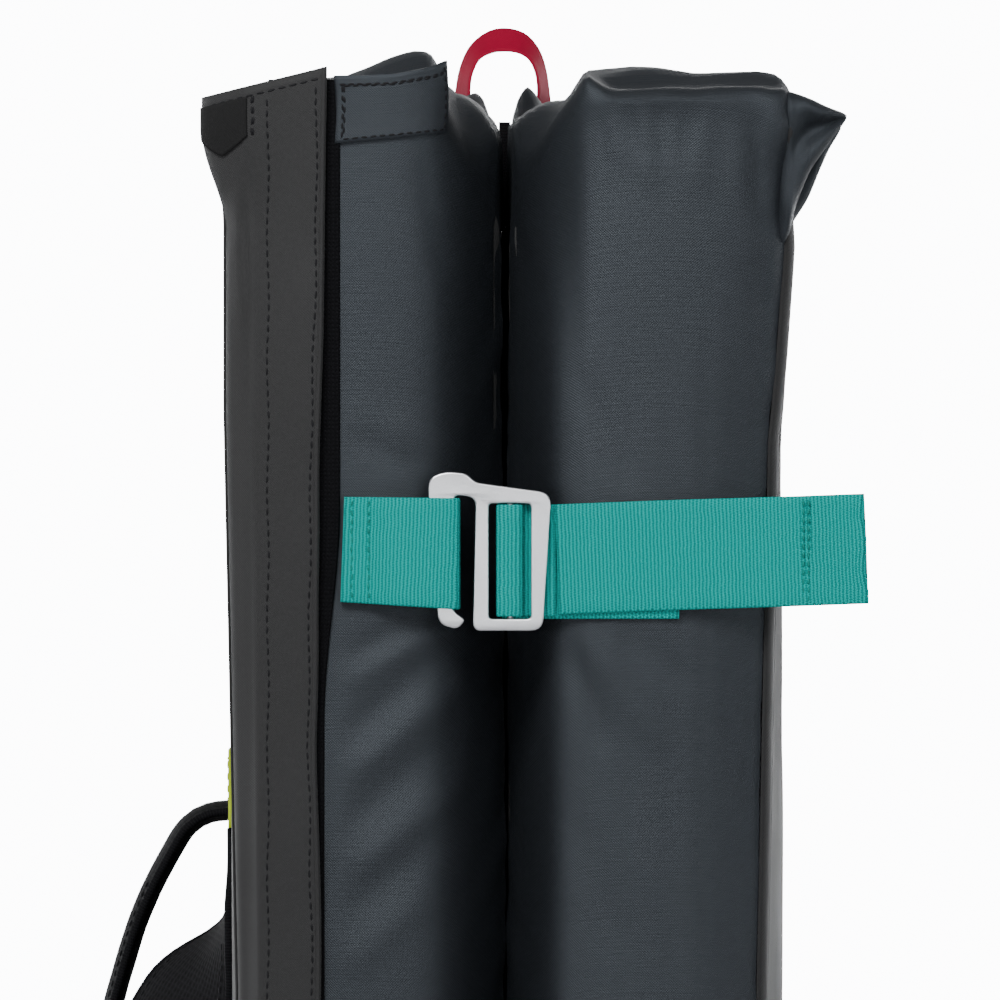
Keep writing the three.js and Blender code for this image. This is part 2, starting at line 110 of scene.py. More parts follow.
class PadColours(PropertyGroup):
    cover: colour("Side band", "Coated cloth of the puffed side bands", (0.0042, 0.0048, 0.0062))
    matt: colour("Face cloth", "Matt cloth of the flap and outer faces", (0.0115, 0.0116, 0.012))
    landing: colour("Landing cloth", "Cloth of the landing faces", (0.012, 0.0125, 0.014))
    teal: colour("Closure webbing", "Teal webbing of the closure straps", (0.0, 0.295, 0.265))
    crimson: colour("Hang loop", "Crimson webbing of the hang loop", (0.33, 0.003, 0.03))
    lime: colour("Root patch", "Lime webbing at the shoulder strap roots", (0.40, 0.52, 0.015))
    black: colour("Black webbing", "Webbing of the harness and handle", (0.006, 0.006, 0.007))
    thread: colour("Thread", "Sewing thread of the covers", (0.003, 0.003, 0.004))
    alloy: colour("Hook metal", "Tumbled aluminium of the hooks", (0.75, 0.76, 0.78))
    firm_foam: colour("Firm foam", "Closed-cell foam slabs", (0.09, 0.095, 0.1))
    soft_foam: colour("Soft foam", "Open-cell foam core", (0.62, 0.55, 0.36))


def sizes():
    return bpy.context.scene.crash_pad_sizes


def colours():
    return bpy.context.scene.crash_pad_colours


# ---- mesh helpers ----


def to_frame(points):
    return np.asarray(points, float) * 0.001 + ORIGIN


def placed(name, mesh, body):
    """A mesh object in the scene, riding on its body."""
    piece = bpy.data.objects.new(name, mesh)
    bpy.context.scene.collection.objects.link(piece)
    if body:
        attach(piece, body)
    return piece


def link_mesh(name, points, faces, material, body, loop_uv=None):
    """A smooth mesh from points in millimetres, riding on a body of the frame."""
    mesh = bpy.data.meshes.new(name)
    mesh.from_pydata(to_frame(points).tolist(), [], faces)
    if loop_uv is not None:
        layer = mesh.uv_layers.new(name="Cloth")
        layer.data.foreach_set("uv", (np.asarray(loop_uv, float) * 0.001).ravel())
    mesh.materials.append(material)
    mesh.shade_smooth()
    return placed(name, mesh, body)


def run_lengths(grid, axis):
    """Distance along one direction of a grid, averaged over the other."""
    steps = np.linalg.norm(np.diff(grid, axis=axis), axis=2).mean(axis=1 - axis)
    return np.concatenate([[0.0], np.cumsum(steps)])


def grid_faces(rows, columns, flip=False, keep=None):
    faces, corners = [], []
    for i in range(rows - 1):
        for j in range(columns - 1):
            if keep is not None and not keep(i, j):
                continue
            quad = [(i, j), (i + 1, j), (i + 1, j + 1), (i, j + 1)]
            quad = quad[::-1] if flip else quad
            corners.extend(quad)
            faces.append(quad)
    return faces, corners


def sheet_piece(name, grid, material, body, join_across=False, join_along=False, cap=False, flip=False,
                keep=None):
    """Skins a grid of points; joined edges share their points, and the weave runs on across them."""
    grid = np.asarray(grid, float)
    full = grid
    if join_across:
        full = np.concatenate([full, full[:, :1]], axis=1)
    if join_along:
        full = np.concatenate([full, full[:1]], axis=0)
    along, across = run_lengths(full, 0), run_lengths(full, 1)
    rows, columns = grid.shape[:2]
    quads, corners = grid_faces(full.shape[0], full.shape[1], flip, keep)
    faces = [[(i % rows) * columns + j % columns for i, j in quad] for quad in quads]
    loop_uv = [(across[j], along[i]) for i, j in corners]
    if cap:
        ends = [list(range(columns)), [(rows - 1) * columns + j for j in range(columns)][::-1]]
        for end in ends:
            faces.append(end[::-1] if flip else end)
            loop_uv.extend([(grid[0, j % columns, 0], grid[0, j % columns, 1]) for j in range(columns)])
    return link_mesh(name, grid.reshape(-1, 3), faces, material, body, loop_uv)


def smooth_route(stations, step):
    """Catmull-Rom through rows of numbers, resampled about every step along the first three."""
    rows = np.asarray(stations, float)
    padded = np.vstack([2 * rows[0] - rows[1], rows, 2 * rows[-1] - rows[-2]])
    made = [rows[0]]
    for a, b, c, d in zip(padded, padded[1:], padded[2:], padded[3:]):
        count = max(1, int(round(np.linalg.norm((c - b)[:3]) / step)))
        for k in range(1, count + 1):
            t = k / count
            made.append(0.5 * (2 * b + (c - a) * t + (2 * a - 5 * b + 4 * c - d) * t**2
                               + (3 * b - a - 3 * c + d) * t**3))
    return np.array(made)


def web_section(width, thick, belly=0.0, faces=10):
    """Closed outline of webbing: flat faces, rounded selvedges, and an optional padded belly."""
    across = np.linspace(-1, 1, faces + 1)
    half = thick / 2 + belly * (1 - np.abs(across) ** 3.5)
    flat = width / 2 - thick / 2
    upper = [(s * flat, h) for s, h in zip(across, half)]
    bow = [(flat + math.sin(a) * thick / 2, math.cos(a) * thick / 2)
           for a in (0.6, 1.2, math.pi / 2, 1.94, 2.54)]
    lower = [(s, -h) for s, h in reversed(upper)]
    return upper + bow + lower + [(-s, t) for s, t in reversed(bow)]


def strap_piece(name, stations, width, thick, material, body, step=4.0, belly=0.0, edge=None):
    """Webbing along a route of stations: x, y, z, width direction, width share and belly share."""
    route, side, out = strap_frame(stations, step)
    thin = np.array(web_section(width, thick))
    depth = np.array(web_section(width, thick, belly))[:, 1] - thin[:, 1]
    grid = (route[:, None, :3] + side[:, None] * thin[None, :, :1] * route[:, None, 6:7]
            + out[:, None] * (thin[None, :, 1:] + depth[None, :, None] * route[:, None, 7:8]))
    if edge is not None:
        grid = edge(grid)
    return sheet_piece(name, grid, material, body, join_across=True, cap=True, flip=True)


def strap_frame(stations, step):
    """A smoothed route with its width and outward directions at each point; missing shares are 1."""
    route = smooth_route([list(s) + [1.0] * (8 - len(s)) for s in stations], step)
    forward = np.gradient(route[:, :3], axis=0)
    forward /= np.linalg.norm(forward, axis=1)[:, None]
    side = route[:, 3:6]
    side = side - (side * forward).sum(1)[:, None] * forward
    side /= np.linalg.norm(side, axis=1)[:, None]
    return route, side, np.cross(forward, side)


def strap_line(stations, across, out_by, step=4.0, start=0.0, stop=1.0):
    """A (point, outward direction) run along a strap, at a distance across it and above its middle."""
    route, side, out = strap_frame(stations, step)
    points = route[:, :3] + side * across * route[:, 6:7] + out * out_by
    outward = out * math.copysign(1, out_by)
    first, last = int(start * (len(points) - 1)), int(stop * (len(points) - 1)) + 1
    return list(zip(points[first:last], outward[first:last]))


def plate_piece(name, outline, holes, depth, bevel, place, axes, material, body, resolution=3):
    """A flat part with rounded edges; outlines run in its own plane, and axes are right, up and out."""
    shape = bpy.data.curves.new(name + "_outline", "CURVE")
    shape.dimensions, shape.fill_mode = "2D", "BOTH"
    shape.extrude = (depth / 2 - bevel) * 0.001
    shape.bevel_depth, shape.bevel_resolution = bevel * 0.001, resolution
    shape.offset = -bevel * 0.001
    for ring in [outline, *holes]:
        spline = shape.splines.new("POLY")
        spline.points.add(len(ring) - 1)
        for point, (a, b) in zip(spline.points, ring):
            point.co = (a * 0.001, b * 0.001, 0, 1)
        spline.use_cyclic_u = True
    blank = bpy.data.objects.new(name, shape)
    bpy.context.scene.collection.objects.link(blank)
    bpy.context.view_layer.update()
    mesh = bpy.data.meshes.new_from_object(blank.evaluated_get(bpy.context.evaluated_depsgraph_get()))
    bpy.data.objects.remove(blank)
    mesh.name = name
    turn = Matrix([list(row) for row in zip(*axes)]).to_4x4()
    spot = Vector(to_frame([place])[0])
    mesh.transform(Matrix.Translation(spot) @ turn)
    tidy = bmesh.new()
    tidy.from_mesh(mesh)
    bmesh.ops.remove_doubles(tidy, verts=tidy.verts, dist=0.00002)
    bmesh.ops.recalc_face_normals(tidy, faces=tidy.faces)
    tidy.to_mesh(mesh)
    tidy.free()
    mesh.materials.clear()
    mesh.materials.append(material)
    mesh.shade_smooth()
    mesh.set_sharp_from_angle(angle=math.radians(38))
    return placed(name, mesh, body)


def rounded_ring(points, radius, steps=5):
    """Rounds every corner of a polygon; radius may be one number or one for each corner."""
    count = len(points)
    radii = [radius] * count if not hasattr(radius, "__len__") else radius
    ring = []
    for k, here in enumerate(points):
        here = np.array(here, float)
        before = np.array(points[k - 1], float) - here
        after = np.array(points[(k + 1) % count], float) - here
        reach = min(radii[k], np.linalg.norm(before) * 0.48, np.linalg.norm(after) * 0.48)
        start = here + before / np.linalg.norm(before) * reach
        stop = here + after / np.linalg.norm(after) * reach
        for t in np.linspace(0, 1, steps + 1):
            ring.append(tuple((1 - t) ** 2 * start + 2 * t * (1 - t) * here + t * t * stop))
    return ring


def box_ring(a0, b0, a1, b1, radius):
    return rounded_ring([(a0, b0), (a1, b0), (a1, b1), (a0, b1)], radius)


def filleted(corners):
    """A ring from corners that are each two places and a radius."""
    return rounded_ring([corner[:2] for corner in corners], [corner[2] for corner in corners])


def sewn_on(detail, piece):
    """Parents a detail, such as a row of stitches, to the piece it is sewn to."""
    detail.parent = piece
    detail.matrix_parent_inverse = Matrix.Identity(4)
    detail.matrix_world = Matrix.Identity(4)
    return detail


def tube_piece(name, path, radius, material, body, around=8, closed=False):
    path = np.asarray(path, float)
    if closed:
        forward = np.roll(path, -1, 0) - np.roll(path, 1, 0)
    else:
        forward = np.gradient(path, axis=0)
    forward /= np.linalg.norm(forward, axis=1)[:, None]
    side = np.cross(forward, [0.31, 0.17, 0.93])
    side /= np.linalg.norm(side, axis=1)[:, None]
    out = np.cross(forward, side)
    turn = np.linspace(0, 2 * math.pi, around, endpoint=False)
    grid = path[:, None] + radius * (side[:, None] * np.cos(turn)[None, :, None]
                                     + out[:, None] * np.sin(turn)[None, :, None])
    return sheet_piece(name, grid, material, body, join_across=True, join_along=closed, cap=not closed)


def stitch_shape(around=6, rings=5):
    points = [(-1.0, 0.0, 0.0)]
    for k in range(1, rings):
        angle = math.pi * k / rings
        for m in range(around):
            turn = 2 * math.pi * m / around
            points.append((-math.cos(angle), math.sin(angle) * math.cos(turn),
                           math.sin(angle) * math.sin(turn)))
    points.append((1.0, 0.0, 0.0))
    faces = [(0, 1 + (m + 1) % around, 1 + m) for m in range(around)]
    for k in range(rings - 2):
        for m in range(around):
            a, b = 1 + k * around + m, 1 + k * around + (m + 1) % around
            faces.append((a, b, b + around, a + around))
    last = len(points) - 1
    faces += [(last, last - around + m, last - around + (m + 1) % around) for m in range(around)]
    return np.array(points), faces


STITCH_POINTS, STITCH_FACES = stitch_shape()


def stitch_piece(name, runs, material, body, length=None, gap=None, thread=None, slot=None):
    """Separate stitches along each run, which is a list of (point, outward direction)."""
    length = length or sizes().stitch * 1000
    gap = gap or sizes().stitch_gap * 1000
    thread = thread or sizes().thread * 1000
    points, faces = [], []
    for run in runs:
        rows = np.array([[*p, *n] for p, n in run], float)
        steps = np.linalg.norm(np.diff(rows[:, :3], axis=0), axis=1)
        reach = np.concatenate([[0.0], np.cumsum(steps)])
        count = max(1, int(reach[-1] / (length + gap)))
        marks = (np.arange(count) + 0.5) * reach[-1] / count
        ends = [np.array([np.interp(marks + shift, reach, rows[:, k]) for k in range(6)]).T
                for shift in (-length / 2, length / 2)]
        for number, (a, b) in enumerate(zip(*ends)):
            along = b[:3] - a[:3]
            size = np.linalg.norm(along)
            if size < 1e-6:
                continue
            along /= size
            out = a[3:] + b[3:]
            out -= out.dot(along) * along
            out /= np.linalg.norm(out)
            lean = 0.09 * math.sin(number * 2.4)
            side = np.cross(out, along)
            along = along + side * lean
            middle = (a[:3] + b[:3]) / 2 + out * thread * 0.12
            base = len(points)
            shape = STITCH_POINTS * [length / 2, thread / 2, thread / 2.6]
            points.extend(middle + shape @ np.array([along, side, out]))
            faces.extend([[base + v for v in face] for face in STITCH_FACES])
    return link_mesh(name, points, faces, material, body)


def sew(name, runs, piece, finish="thread", slot="black_webbing", **lengths):
    """Rows of stitches sewn to a piece."""
    return sewn_on(stitch_piece(name, runs, finish_of(finish), None, slot=slot, **lengths), piece)


def corner_runs(corners, x, y, z, shares):
    """Stitch runs from corner to corner about (x, z), on a face that looks to the front."""
    return [[((x + a0 + (a1 - a0) * t, y, z + b0 + (b1 - b0) * t), FRONTWARD) for t in shares]
            for (a0, b0), (a1, b1) in zip(corners, corners[1:])]


def surface_run(grid, cells, lift=0.0):
    """Points and outward directions on a grid surface, at fractional (row, column) places."""
    grid = np.asarray(grid, float)
    run = []
    for i, j in cells:
        i = min(max(i, 0.0), grid.shape[0] - 1.001)
        j = min(max(j, 0.0), grid.shape[1] - 1.001)
        a, b = int(i), int(j)
        f, g = i - a, j - b
        p00, p10, p01, p11 = grid[a, b], grid[a + 1, b], grid[a, b + 1], grid[a + 1, b + 1]
        point = (p00 * (1 - f) + p10 * f) * (1 - g) + (p01 * (1 - f) + p11 * f) * g
        out = np.cross(p01 - p00, p10 - p00)
        out /= np.linalg.norm(out)
        run.append((point + out * lift, out))
    return run


def falloff(value, start, end):
    t = np.clip((value - start) / (end - start), 0, 1)
    return t * t * (3 - 2 * t)


def rumple(points, scale, seed, octaves=2):
    """Smooth noise from -1 to 1 at each point."""
    flat = np.asarray(points, float).reshape(-1, 3) / scale + seed * 17.3
    values = [noise.fractal(Vector(p), 0.6, 2.1, octaves) for p in flat]
    return np.clip(np.array(values), -1.2, 1.2).reshape(np.asarray(points).shape[:-1])


def fold_line(a, b, start, end, width, height):
    """A soft ridge, or a crease when height is negative, between two places on a flat map."""
    (a0, b0), (a1, b1) = start, end
    length = math.hypot(a1 - a0, b1 - b0)
    t = ((a - a0) * (a1 - a0) + (b - b0) * (b1 - b0)) / length**2
    off = np.abs((a - a0) * (b1 - b0) - (b - b0) * (a1 - a0)) / length
    body = np.exp(-((off / width) ** 2))
    return height * body * falloff(t, -0.12, 0.3) * (1 - falloff(t, 0.7, 1.12))


# ---- materials ----


def joined_node(tree, kind, inputs, **settings):
    """A shader node with its settings; each input is a value or the socket that feeds it."""
    made = tree.nodes.new("ShaderNode" + kind)
    for key, value in settings.items():
        setattr(made, key, value)
    for number, value in enumerate(inputs):
        if isinstance(value, bpy.types.NodeSocket):
            tree.links.new(value, made.inputs[number])
        elif value is not None:
            made.inputs[number].default_value = value
    return made


class Finish:
    """A material with a Principled shader and short ways to add texture nodes."""

    def __init__(self, name, base, roughness, metallic=0.0, specular=0.3, sheen=0.0, sheen_roughness=0.5):
        self.material = bpy.data.materials.new(name)
        self.material.use_nodes = True
        self.tree = self.material.node_tree
        self.shader = next(n for n in self.tree.nodes if n.type == "BSDF_PRINCIPLED")
        self.shader.inputs["Base Color"].default_value = (*base, 1)
        self.shader.inputs["Roughness"].default_value = roughness
        self.shader.inputs["Metallic"].default_value = metallic
        self.shader.inputs["Specular IOR Level"].default_value = specular
        self.shader.inputs["Sheen Weight"].default_value = sheen
        self.shader.inputs["Sheen Roughness"].default_value = sheen_roughness
        self.base = base
        self.roughness = roughness
        coordinates = self.tree.nodes.new("ShaderNodeTexCoord")
        self.cloth, self.place = coordinates.outputs["UV"], coordinates.outputs["Object"]
        self.heights = []

    def node(self, kind, *inputs, **settings):
        return joined_node(self.tree, kind, inputs, **settings)

    def plug(self, value, socket):
        if isinstance(value, bpy.types.NodeSocket):
            self.tree.links.new(value, socket)
        elif value is not None:
            socket.default_value = value

    def maths(self, operation, *inputs):
        return self.node("Math", *inputs, operation=operation).outputs[0]

    def ripple(self, socket, pitch_mm, power=1.0):
        """0 to 1 waves along one coordinate."""
        wave = self.maths("SINE", self.maths("MULTIPLY", socket, 2 * math.pi / (pitch_mm * 0.001)))
        level = self.maths("MULTIPLY_ADD", wave, 0.5, 0.5)
        return self.maths("POWER", level, power) if power != 1.0 else level

    def split(self, socket):
        parts = self.node("SeparateXYZ", socket)
        return parts.outputs[0], parts.outputs[1]

    def grain(self, scale, detail=3.0, rough=0.5, source=None, stretch=None, distort=0.0):
        """Noise from 0 to 1, in cycles for each metre."""
        source = source or self.place
        if stretch:
            source = self.node("Mapping", source, None, None, stretch).outputs[0]
        made = self.node("TexNoise")
        self.plug(source, made.inputs["Vector"])
        made.inputs["Scale"].default_value = scale
        made.inputs["Detail"].default_value = detail
        made.inputs["Roughness"].default_value = rough
        made.inputs["Distortion"].default_value = distort
        return made.outputs["Fac"]

    def between(self, factor, low, high, first=0.3, last=0.7):
        """A number that follows a 0 to 1 factor."""
        return self.node("MapRange", factor, first, last, low, high).outputs[0]

    def tint(self, factor, dark, light, first=0.3, last=0.7):
        """The base colour times a share that runs from dark to light with the factor."""
        ramp = self.node("ValToRGB", factor)
        for stop, place, share in zip(ramp.color_ramp.elements, (first, last), (dark, light)):
            stop.position = place
            shares = share if isinstance(share, tuple) else (share, share, share)
            stop.color = (*[min(1.0, c * s) for c, s in zip(self.base, shares)], 1)
        return ramp.outputs[0]

    def mix(self, factor, first, second, blend="MIX"):
        made = self.node("Mix", data_type="RGBA", blend_type=blend)
        self.plug(factor, made.inputs[0])
        self.plug(first, made.inputs[6])
        self.plug(second, made.inputs[7])
        return made.outputs[2]

    def colour(self, socket):
        self.plug(socket, self.shader.inputs["Base Color"])

    def gloss(self, factor, low, high, first=0.3, last=0.7):
        self.plug(self.between(factor, low, high, first, last), self.shader.inputs["Roughness"])

    def bump(self, socket, depth_mm, strength=1.0):
        self.heights.append((socket, depth_mm, strength))

    def finish(self):
        normal = None
        for socket, depth, strength in self.heights:
            made = self.node("Bump")
            made.inputs["Strength"].default_value = strength
            made.inputs["Distance"].default_value = depth * 0.001
            self.plug(socket, made.inputs["Height"])
            if normal:
                self.plug(normal, made.inputs["Normal"])
            normal = made.outputs["Normal"]
        if normal:
            self.plug(normal, self.shader.inputs["Normal"])
        return self.material


def plain_weave(look, pitch):
    """Height of an over-and-under weave."""
    u, v = look.split(look.cloth)
    over = look.maths("SINE", look.maths("MULTIPLY", u, 2 * math.pi / (pitch * 0.001)))
    under = look.maths("SINE", look.maths("MULTIPLY", v, 2 * math.pi / (pitch * 0.001)))
    return look.maths("MULTIPLY_ADD", look.maths("MULTIPLY", over, under), 0.5, 0.5)


def coated_cloth(name, base):
    """Smooth coated nylon: fine weave, soft blue sheen, streaks of uneven thread and faint scuffs."""
    look = Finish(name, base, 0.56, specular=0.62)
    look.shader.inputs["Specular Tint"].default_value = (0.80, 0.90, 1.0, 1)
    pitch = sizes().weave * 1000
    weave = plain_weave(look, pitch)
    streak = look.grain(1.0, 3, 0.6, look.cloth, (55, 1300, 1))
    speck = look.grain(1.0, 2, 0.7, look.cloth, (900, 900, 1))
    thread = look.mix(0.45, look.tint(streak, 0.62, (1.45, 1.5, 1.6)),
                      look.tint(speck, 0.5, (1.6, 1.65, 1.75)))
    cloud = look.grain(9, 3)
    dust = look.tint(cloud, (0.9, 0.9, 0.9), (1.12, 1.1, 1.08))
    look.colour(look.mix(0.35, thread, dust))
    look.gloss(look.mix(0.5, streak, cloud), 0.5, 0.62)
    look.bump(weave, 0.2, 0.6)
    look.bump(streak, 0.3, 0.6)
    look.bump(look.grain(60, 3), 0.5, 0.1)
    return look.finish()


def matt_cloth(name, base, roughness=0.72, pitch=1.0, sheen=0.05):
    """Heavy matt nylon with a dry hand: visible basket weave, rubbed patches and a little dust."""
    look = Finish(name, base, roughness, specular=0.22, sheen=sheen, sheen_roughness=0.6)
    weave = plain_weave(look, pitch)
    fibre = look.grain(1.0, 3, 0.65, look.cloth, (1100, 500, 1))
    rub = look.grain(14, 4, 0.55)
    worn = look.mix(0.5, look.tint(fibre, 0.72, 1.32), look.tint(rub, 0.84, (1.2, 1.18, 1.15)))
    # The raised points of the weave are mixed towards a lighter colour: painted highlight on the weave; fibre and
    # rub are random wear and tone.
    look.colour(look.mix(look.maths("MULTIPLY", weave, 0.2), worn, (*[c * 1.7 for c in base], 1)))
    look.gloss(rub, roughness - 0.08, roughness + 0.08)
    look.bump(weave, 0.2, 0.45)
    look.bump(fibre, 0.12, 0.3)
    look.bump(look.grain(45, 3), 0.6, 0.12)
    return look.finish()


def ribbed_webbing(name, base, rib=1.3, bead=0.9, roughness=0.7, light=1.25, sheen=0.0, depth=0.45):
    """Nylon webbing: ribs across its width, each broken into beads, with painted shade in the grooves, painted
    highlight on the tops and pale fibre flecks.
    """
    look = Finish(name, base, roughness, specular=0.06, sheen=sheen, sheen_roughness=0.45)
    u, v = look.split(look.cloth)
    wander = look.maths("MULTIPLY", look.grain(1.0, 2, 0.5, look.cloth, (240, 60, 1)), 0.0007)
    ribs = look.ripple(look.maths("ADD", v, wander), rib, 0.7)
    shift = look.maths("MULTIPLY", look.maths("FLOOR", look.maths("DIVIDE", v, rib * 0.001)), bead * 0.0005)
    beads = look.ripple(look.maths("ADD", u, shift), bead, 0.8)
    height = look.maths("MULTIPLY_ADD", ribs, 0.65, look.maths("MULTIPLY", beads, 0.35))
    fibre = look.grain(1.0, 3, 0.7, look.cloth, (2600, 1500, 1))
    # Colour follows the rib height: painted shade in the grooves and painted highlight on the rib and bead tops.
    painted_rib_shade = look.tint(height, 0.34, light * 1.08, 0.15, 0.95)
    look.colour(look.mix(0.3, painted_rib_shade, look.tint(fibre, 0.6, light * 1.15)))
    look.gloss(fibre, roughness - 0.06, roughness + 0.1)
    look.bump(height, depth, 0.8)
    look.bump(fibre, 0.1, 0.35)
    return look.finish()


def smooth_ribbon(name, base):
    """Tight smooth tape of the hang loop and root patches."""
    look = Finish(name, base, 0.62, specular=0.15)
    u, v = look.split(look.cloth)
    twill = look.ripple(look.maths("MULTIPLY_ADD", u, 0.8, v), 0.75, 1.0)
    fibre = look.grain(1.0, 3, 0.6, look.cloth, (1600, 500, 1))
    cloud = look.grain(45, 2)
    # The twill tint is darker in its grooves and lighter on its ridges: painted shade and painted highlight;
    # fibre and cloud are random tone.
    look.colour(look.mix(0.5, look.tint(twill, 0.82, 1.14), look.mix(0.5, look.tint(fibre, 0.8, 1.15),
                                                                      look.tint(cloud, 0.85, 1.1))))
    look.bump(twill, 0.14, 0.5)
    look.bump(fibre, 0.08, 0.3)
    return look.finish()


def fuzzy_tape(name, base):
    """Hook-and-loop tape: a dense matt pile in rows, with painted shade between the rows."""
    look = Finish(name, base, 0.95, specular=0.05)
    u, v = look.split(look.cloth)
    rows = look.maths("MULTIPLY", look.ripple(u, 1.1, 1.5), look.ripple(v, 1.5, 1.2))
    pile = look.grain(1.0, 4, 0.8, look.cloth, (1500, 1200, 1))
    # Darker between the pile rows and lighter on them: painted shade and painted highlight; the pile noise is
    # random tone.
    look.colour(look.mix(0.5, look.tint(rows, 0.5, 1.5, 0.1, 0.9), look.tint(pile, 0.4, 1.7)))
    look.bump(rows, 0.5, 0.7)
    look.bump(pile, 0.5, 0.6)
    return look.finish()


def spacer_mesh(name, base):
    """Open spacer mesh over foam: rows of small six-sided holes, darkened towards their centres as painted shade.
    """
    look = Finish(name, base, 0.85, specular=0.12)
    cells = look.node("TexVoronoi", feature="F1")
    look.plug(look.node("Mapping", look.cloth, None, None, (420, 420, 1)).outputs[0], cells.inputs["Vector"])
    cells.inputs["Scale"].default_value = 1.0
    cells.inputs["Randomness"].default_value = 0.25
    hole = cells.outputs["Distance"]
    fibre = look.grain(1.0, 3, 0.7, look.cloth, (1500, 1500, 1))
    # The hole centres are painted darker as shade inside the holes; the fibre noise is random tone.
    look.colour(look.mix(0.3, look.tint(hole, 0.25, 1.5, 0.08, 0.5), look.tint(fibre, 0.6, 1.4)))
    look.bump(hole, 0.5, 0.7)
    look.bump(look.grain(60, 3), 0.8, 0.2)
    return look.finish()


def cell_foam(name, base, cell):
    """Cut foam with open pores and slightly yellowed patches."""
    look = Finish(name, base, 0.95, specular=0.1)
    pores = look.node("TexVoronoi", feature="F1")
    look.plug(look.place, pores.inputs["Vector"])
    pores.inputs["Scale"].default_value = 1000 / cell
    cloud = look.grain(12, 4)
    look.colour(look.mix(0.5, look.tint(pores.outputs["Distance"], 1.1, 0.6, 0.2, 0.8),
                         look.tint(cloud, (0.85, 0.82, 0.75), (1.1, 1.08, 1.0))))
    look.bump(pores.outputs["Distance"], 0.6, 0.6)
    return look.finish()


def tumbled_alloy(name, base):
    """Tumbled aluminium: satin, with faint marks and slightly uneven gloss."""
    look = Finish(name, base, 0.34, metallic=1.0, specular=0.5)
    cloud = look.grain(90, 4, 0.6)
    pits = look.grain(1500, 3, 0.7)
    look.colour(look.mix(0.4, look.tint(cloud, 0.93, 1.04), look.tint(pits, 0.88, 1.06)))
    look.gloss(look.mix(0.5, cloud, pits), 0.27, 0.42)
    look.bump(pits, 0.06, 0.35)
    look.bump(cloud, 0.1, 0.15)
    return look.finish()


def moulded_acetal(name, base):
    """Moulded black plastic with a fine spark texture and polished rubs."""
    look = Finish(name, base, 0.5, specular=0.45)
    spark = look.grain(1800, 2, 0.6)
    rub = look.grain(55, 4)
    look.colour(look.mix(0.5, look.tint(spark, 0.8, 1.3), look.tint(rub, 0.85, (1.4, 1.4, 1.45))))
    look.gloss(rub, 0.4, 0.6)
    look.bump(spark, 0.12, 0.5)
    return look.finish()


def twisted_thread(name, base):
    look = Finish(name, base, 0.6, specular=0.2)
    twist = look.grain(2600, 2)
    look.colour(look.tint(twist, 0.6, 2.2))
    look.bump(twist, 0.1, 0.6)
    return look.finish()


MAKERS = {
    "side_cloth": lambda c: coated_cloth("side_cloth", c.cover),
    "face_cloth": lambda c: matt_cloth("face_cloth", c.matt, pitch=1.15),
    "flap_cloth": lambda c: matt_cloth("flap_cloth", tuple(v * 1.35 for v in c.matt), 0.66, 0.9),
    "patch_cloth": lambda c: matt_cloth("patch_cloth", tuple(v * 0.55 for v in c.matt), 0.85, 0.9,
                                        sheen=0.0),
    "landing_cloth": lambda c: matt_cloth("landing_cloth", c.landing, 0.78, 1.4),
    "binding": lambda c: ribbed_webbing("binding", c.black, 1.1, 0.8, 0.7, light=1.7, depth=0.25),
    "teal_webbing": lambda c: ribbed_webbing("teal_webbing", c.teal),
    "teal_thread": lambda c: twisted_thread("teal_thread", (c.teal[0], c.teal[1] * 0.42, c.teal[2] * 0.38)),
    "crimson_tape": lambda c: smooth_ribbon("crimson_tape", c.crimson),
    "lime_tape": lambda c: smooth_ribbon("lime_tape", c.lime),
    "black_webbing": lambda c: ribbed_webbing("black_webbing", c.black, 1.6, 1.0, 0.75, light=1.35,
                                              depth=0.14),
    "fuzzy_tape": lambda c: fuzzy_tape("fuzzy_tape", c.black),
    "strap_mesh": lambda c: spacer_mesh("strap_mesh", c.black),
    "firm_foam": lambda c: cell_foam("firm_foam", c.firm_foam, 1.2),
    "soft_foam": lambda c: cell_foam("soft_foam", c.soft_foam, 1.8),
    "tumbled_alloy": lambda c: tumbled_alloy("tumbled_alloy", c.alloy),
    "moulded_acetal": lambda c: moulded_acetal("moulded_acetal", (0.011, 0.011, 0.012)),
    "thread": lambda c: twisted_thread("thread", c.thread),
}


def finish_of(name):
    found = bpy.data.materials.get(name)
    return found if found and found.use_nodes else MAKERS[name](colours())


# ---- camera and stage ----


class CRASHPAD_OT_camera(Operator):
    """Place a long-lens camera a little above the upper hook, square to the closure side"""

    bl_idname = "crashpad.camera"
    bl_label = "Camera"

    def execute(self, context):
        aim = Vector(to_frame([[-1.8, FRONT, 853.1]])[0])
        rise, distance = math.radians(0.35), 12.0
        lens = bpy.data.cameras.new("pad_camera")
        lens.lens, lens.sensor_width = 1220.0, 36.0
        lens.clip_end = 90.0
        camera = bpy.data.objects.new("pad_camera", lens)
        context.scene.collection.objects.link(camera)
        camera.location = aim + Vector((0, -math.cos(rise), math.sin(rise))) * distance
        camera.rotation_euler = (aim - camera.location).to_track_quat("-Z", "Y").to_euler()
        context.scene.camera = camera
        return {"FINISHED"}


def area_light(name, place, size, power, tint=(1, 1, 1)):
    light = bpy.data.lights.new(name, "AREA")
    light.shape, light.size, light.size_y = "RECTANGLE", size[0], size[1]
    light.energy, light.color = power, tint
    holder = bpy.data.objects.new(name, light)
    bpy.context.scene.collection.objects.link(holder)
    holder.location = place
    aim = Vector((0, 0, 0.72)) - Vector(place)
    holder.rotation_euler = aim.to_track_quat("-Z", "Y").to_euler()


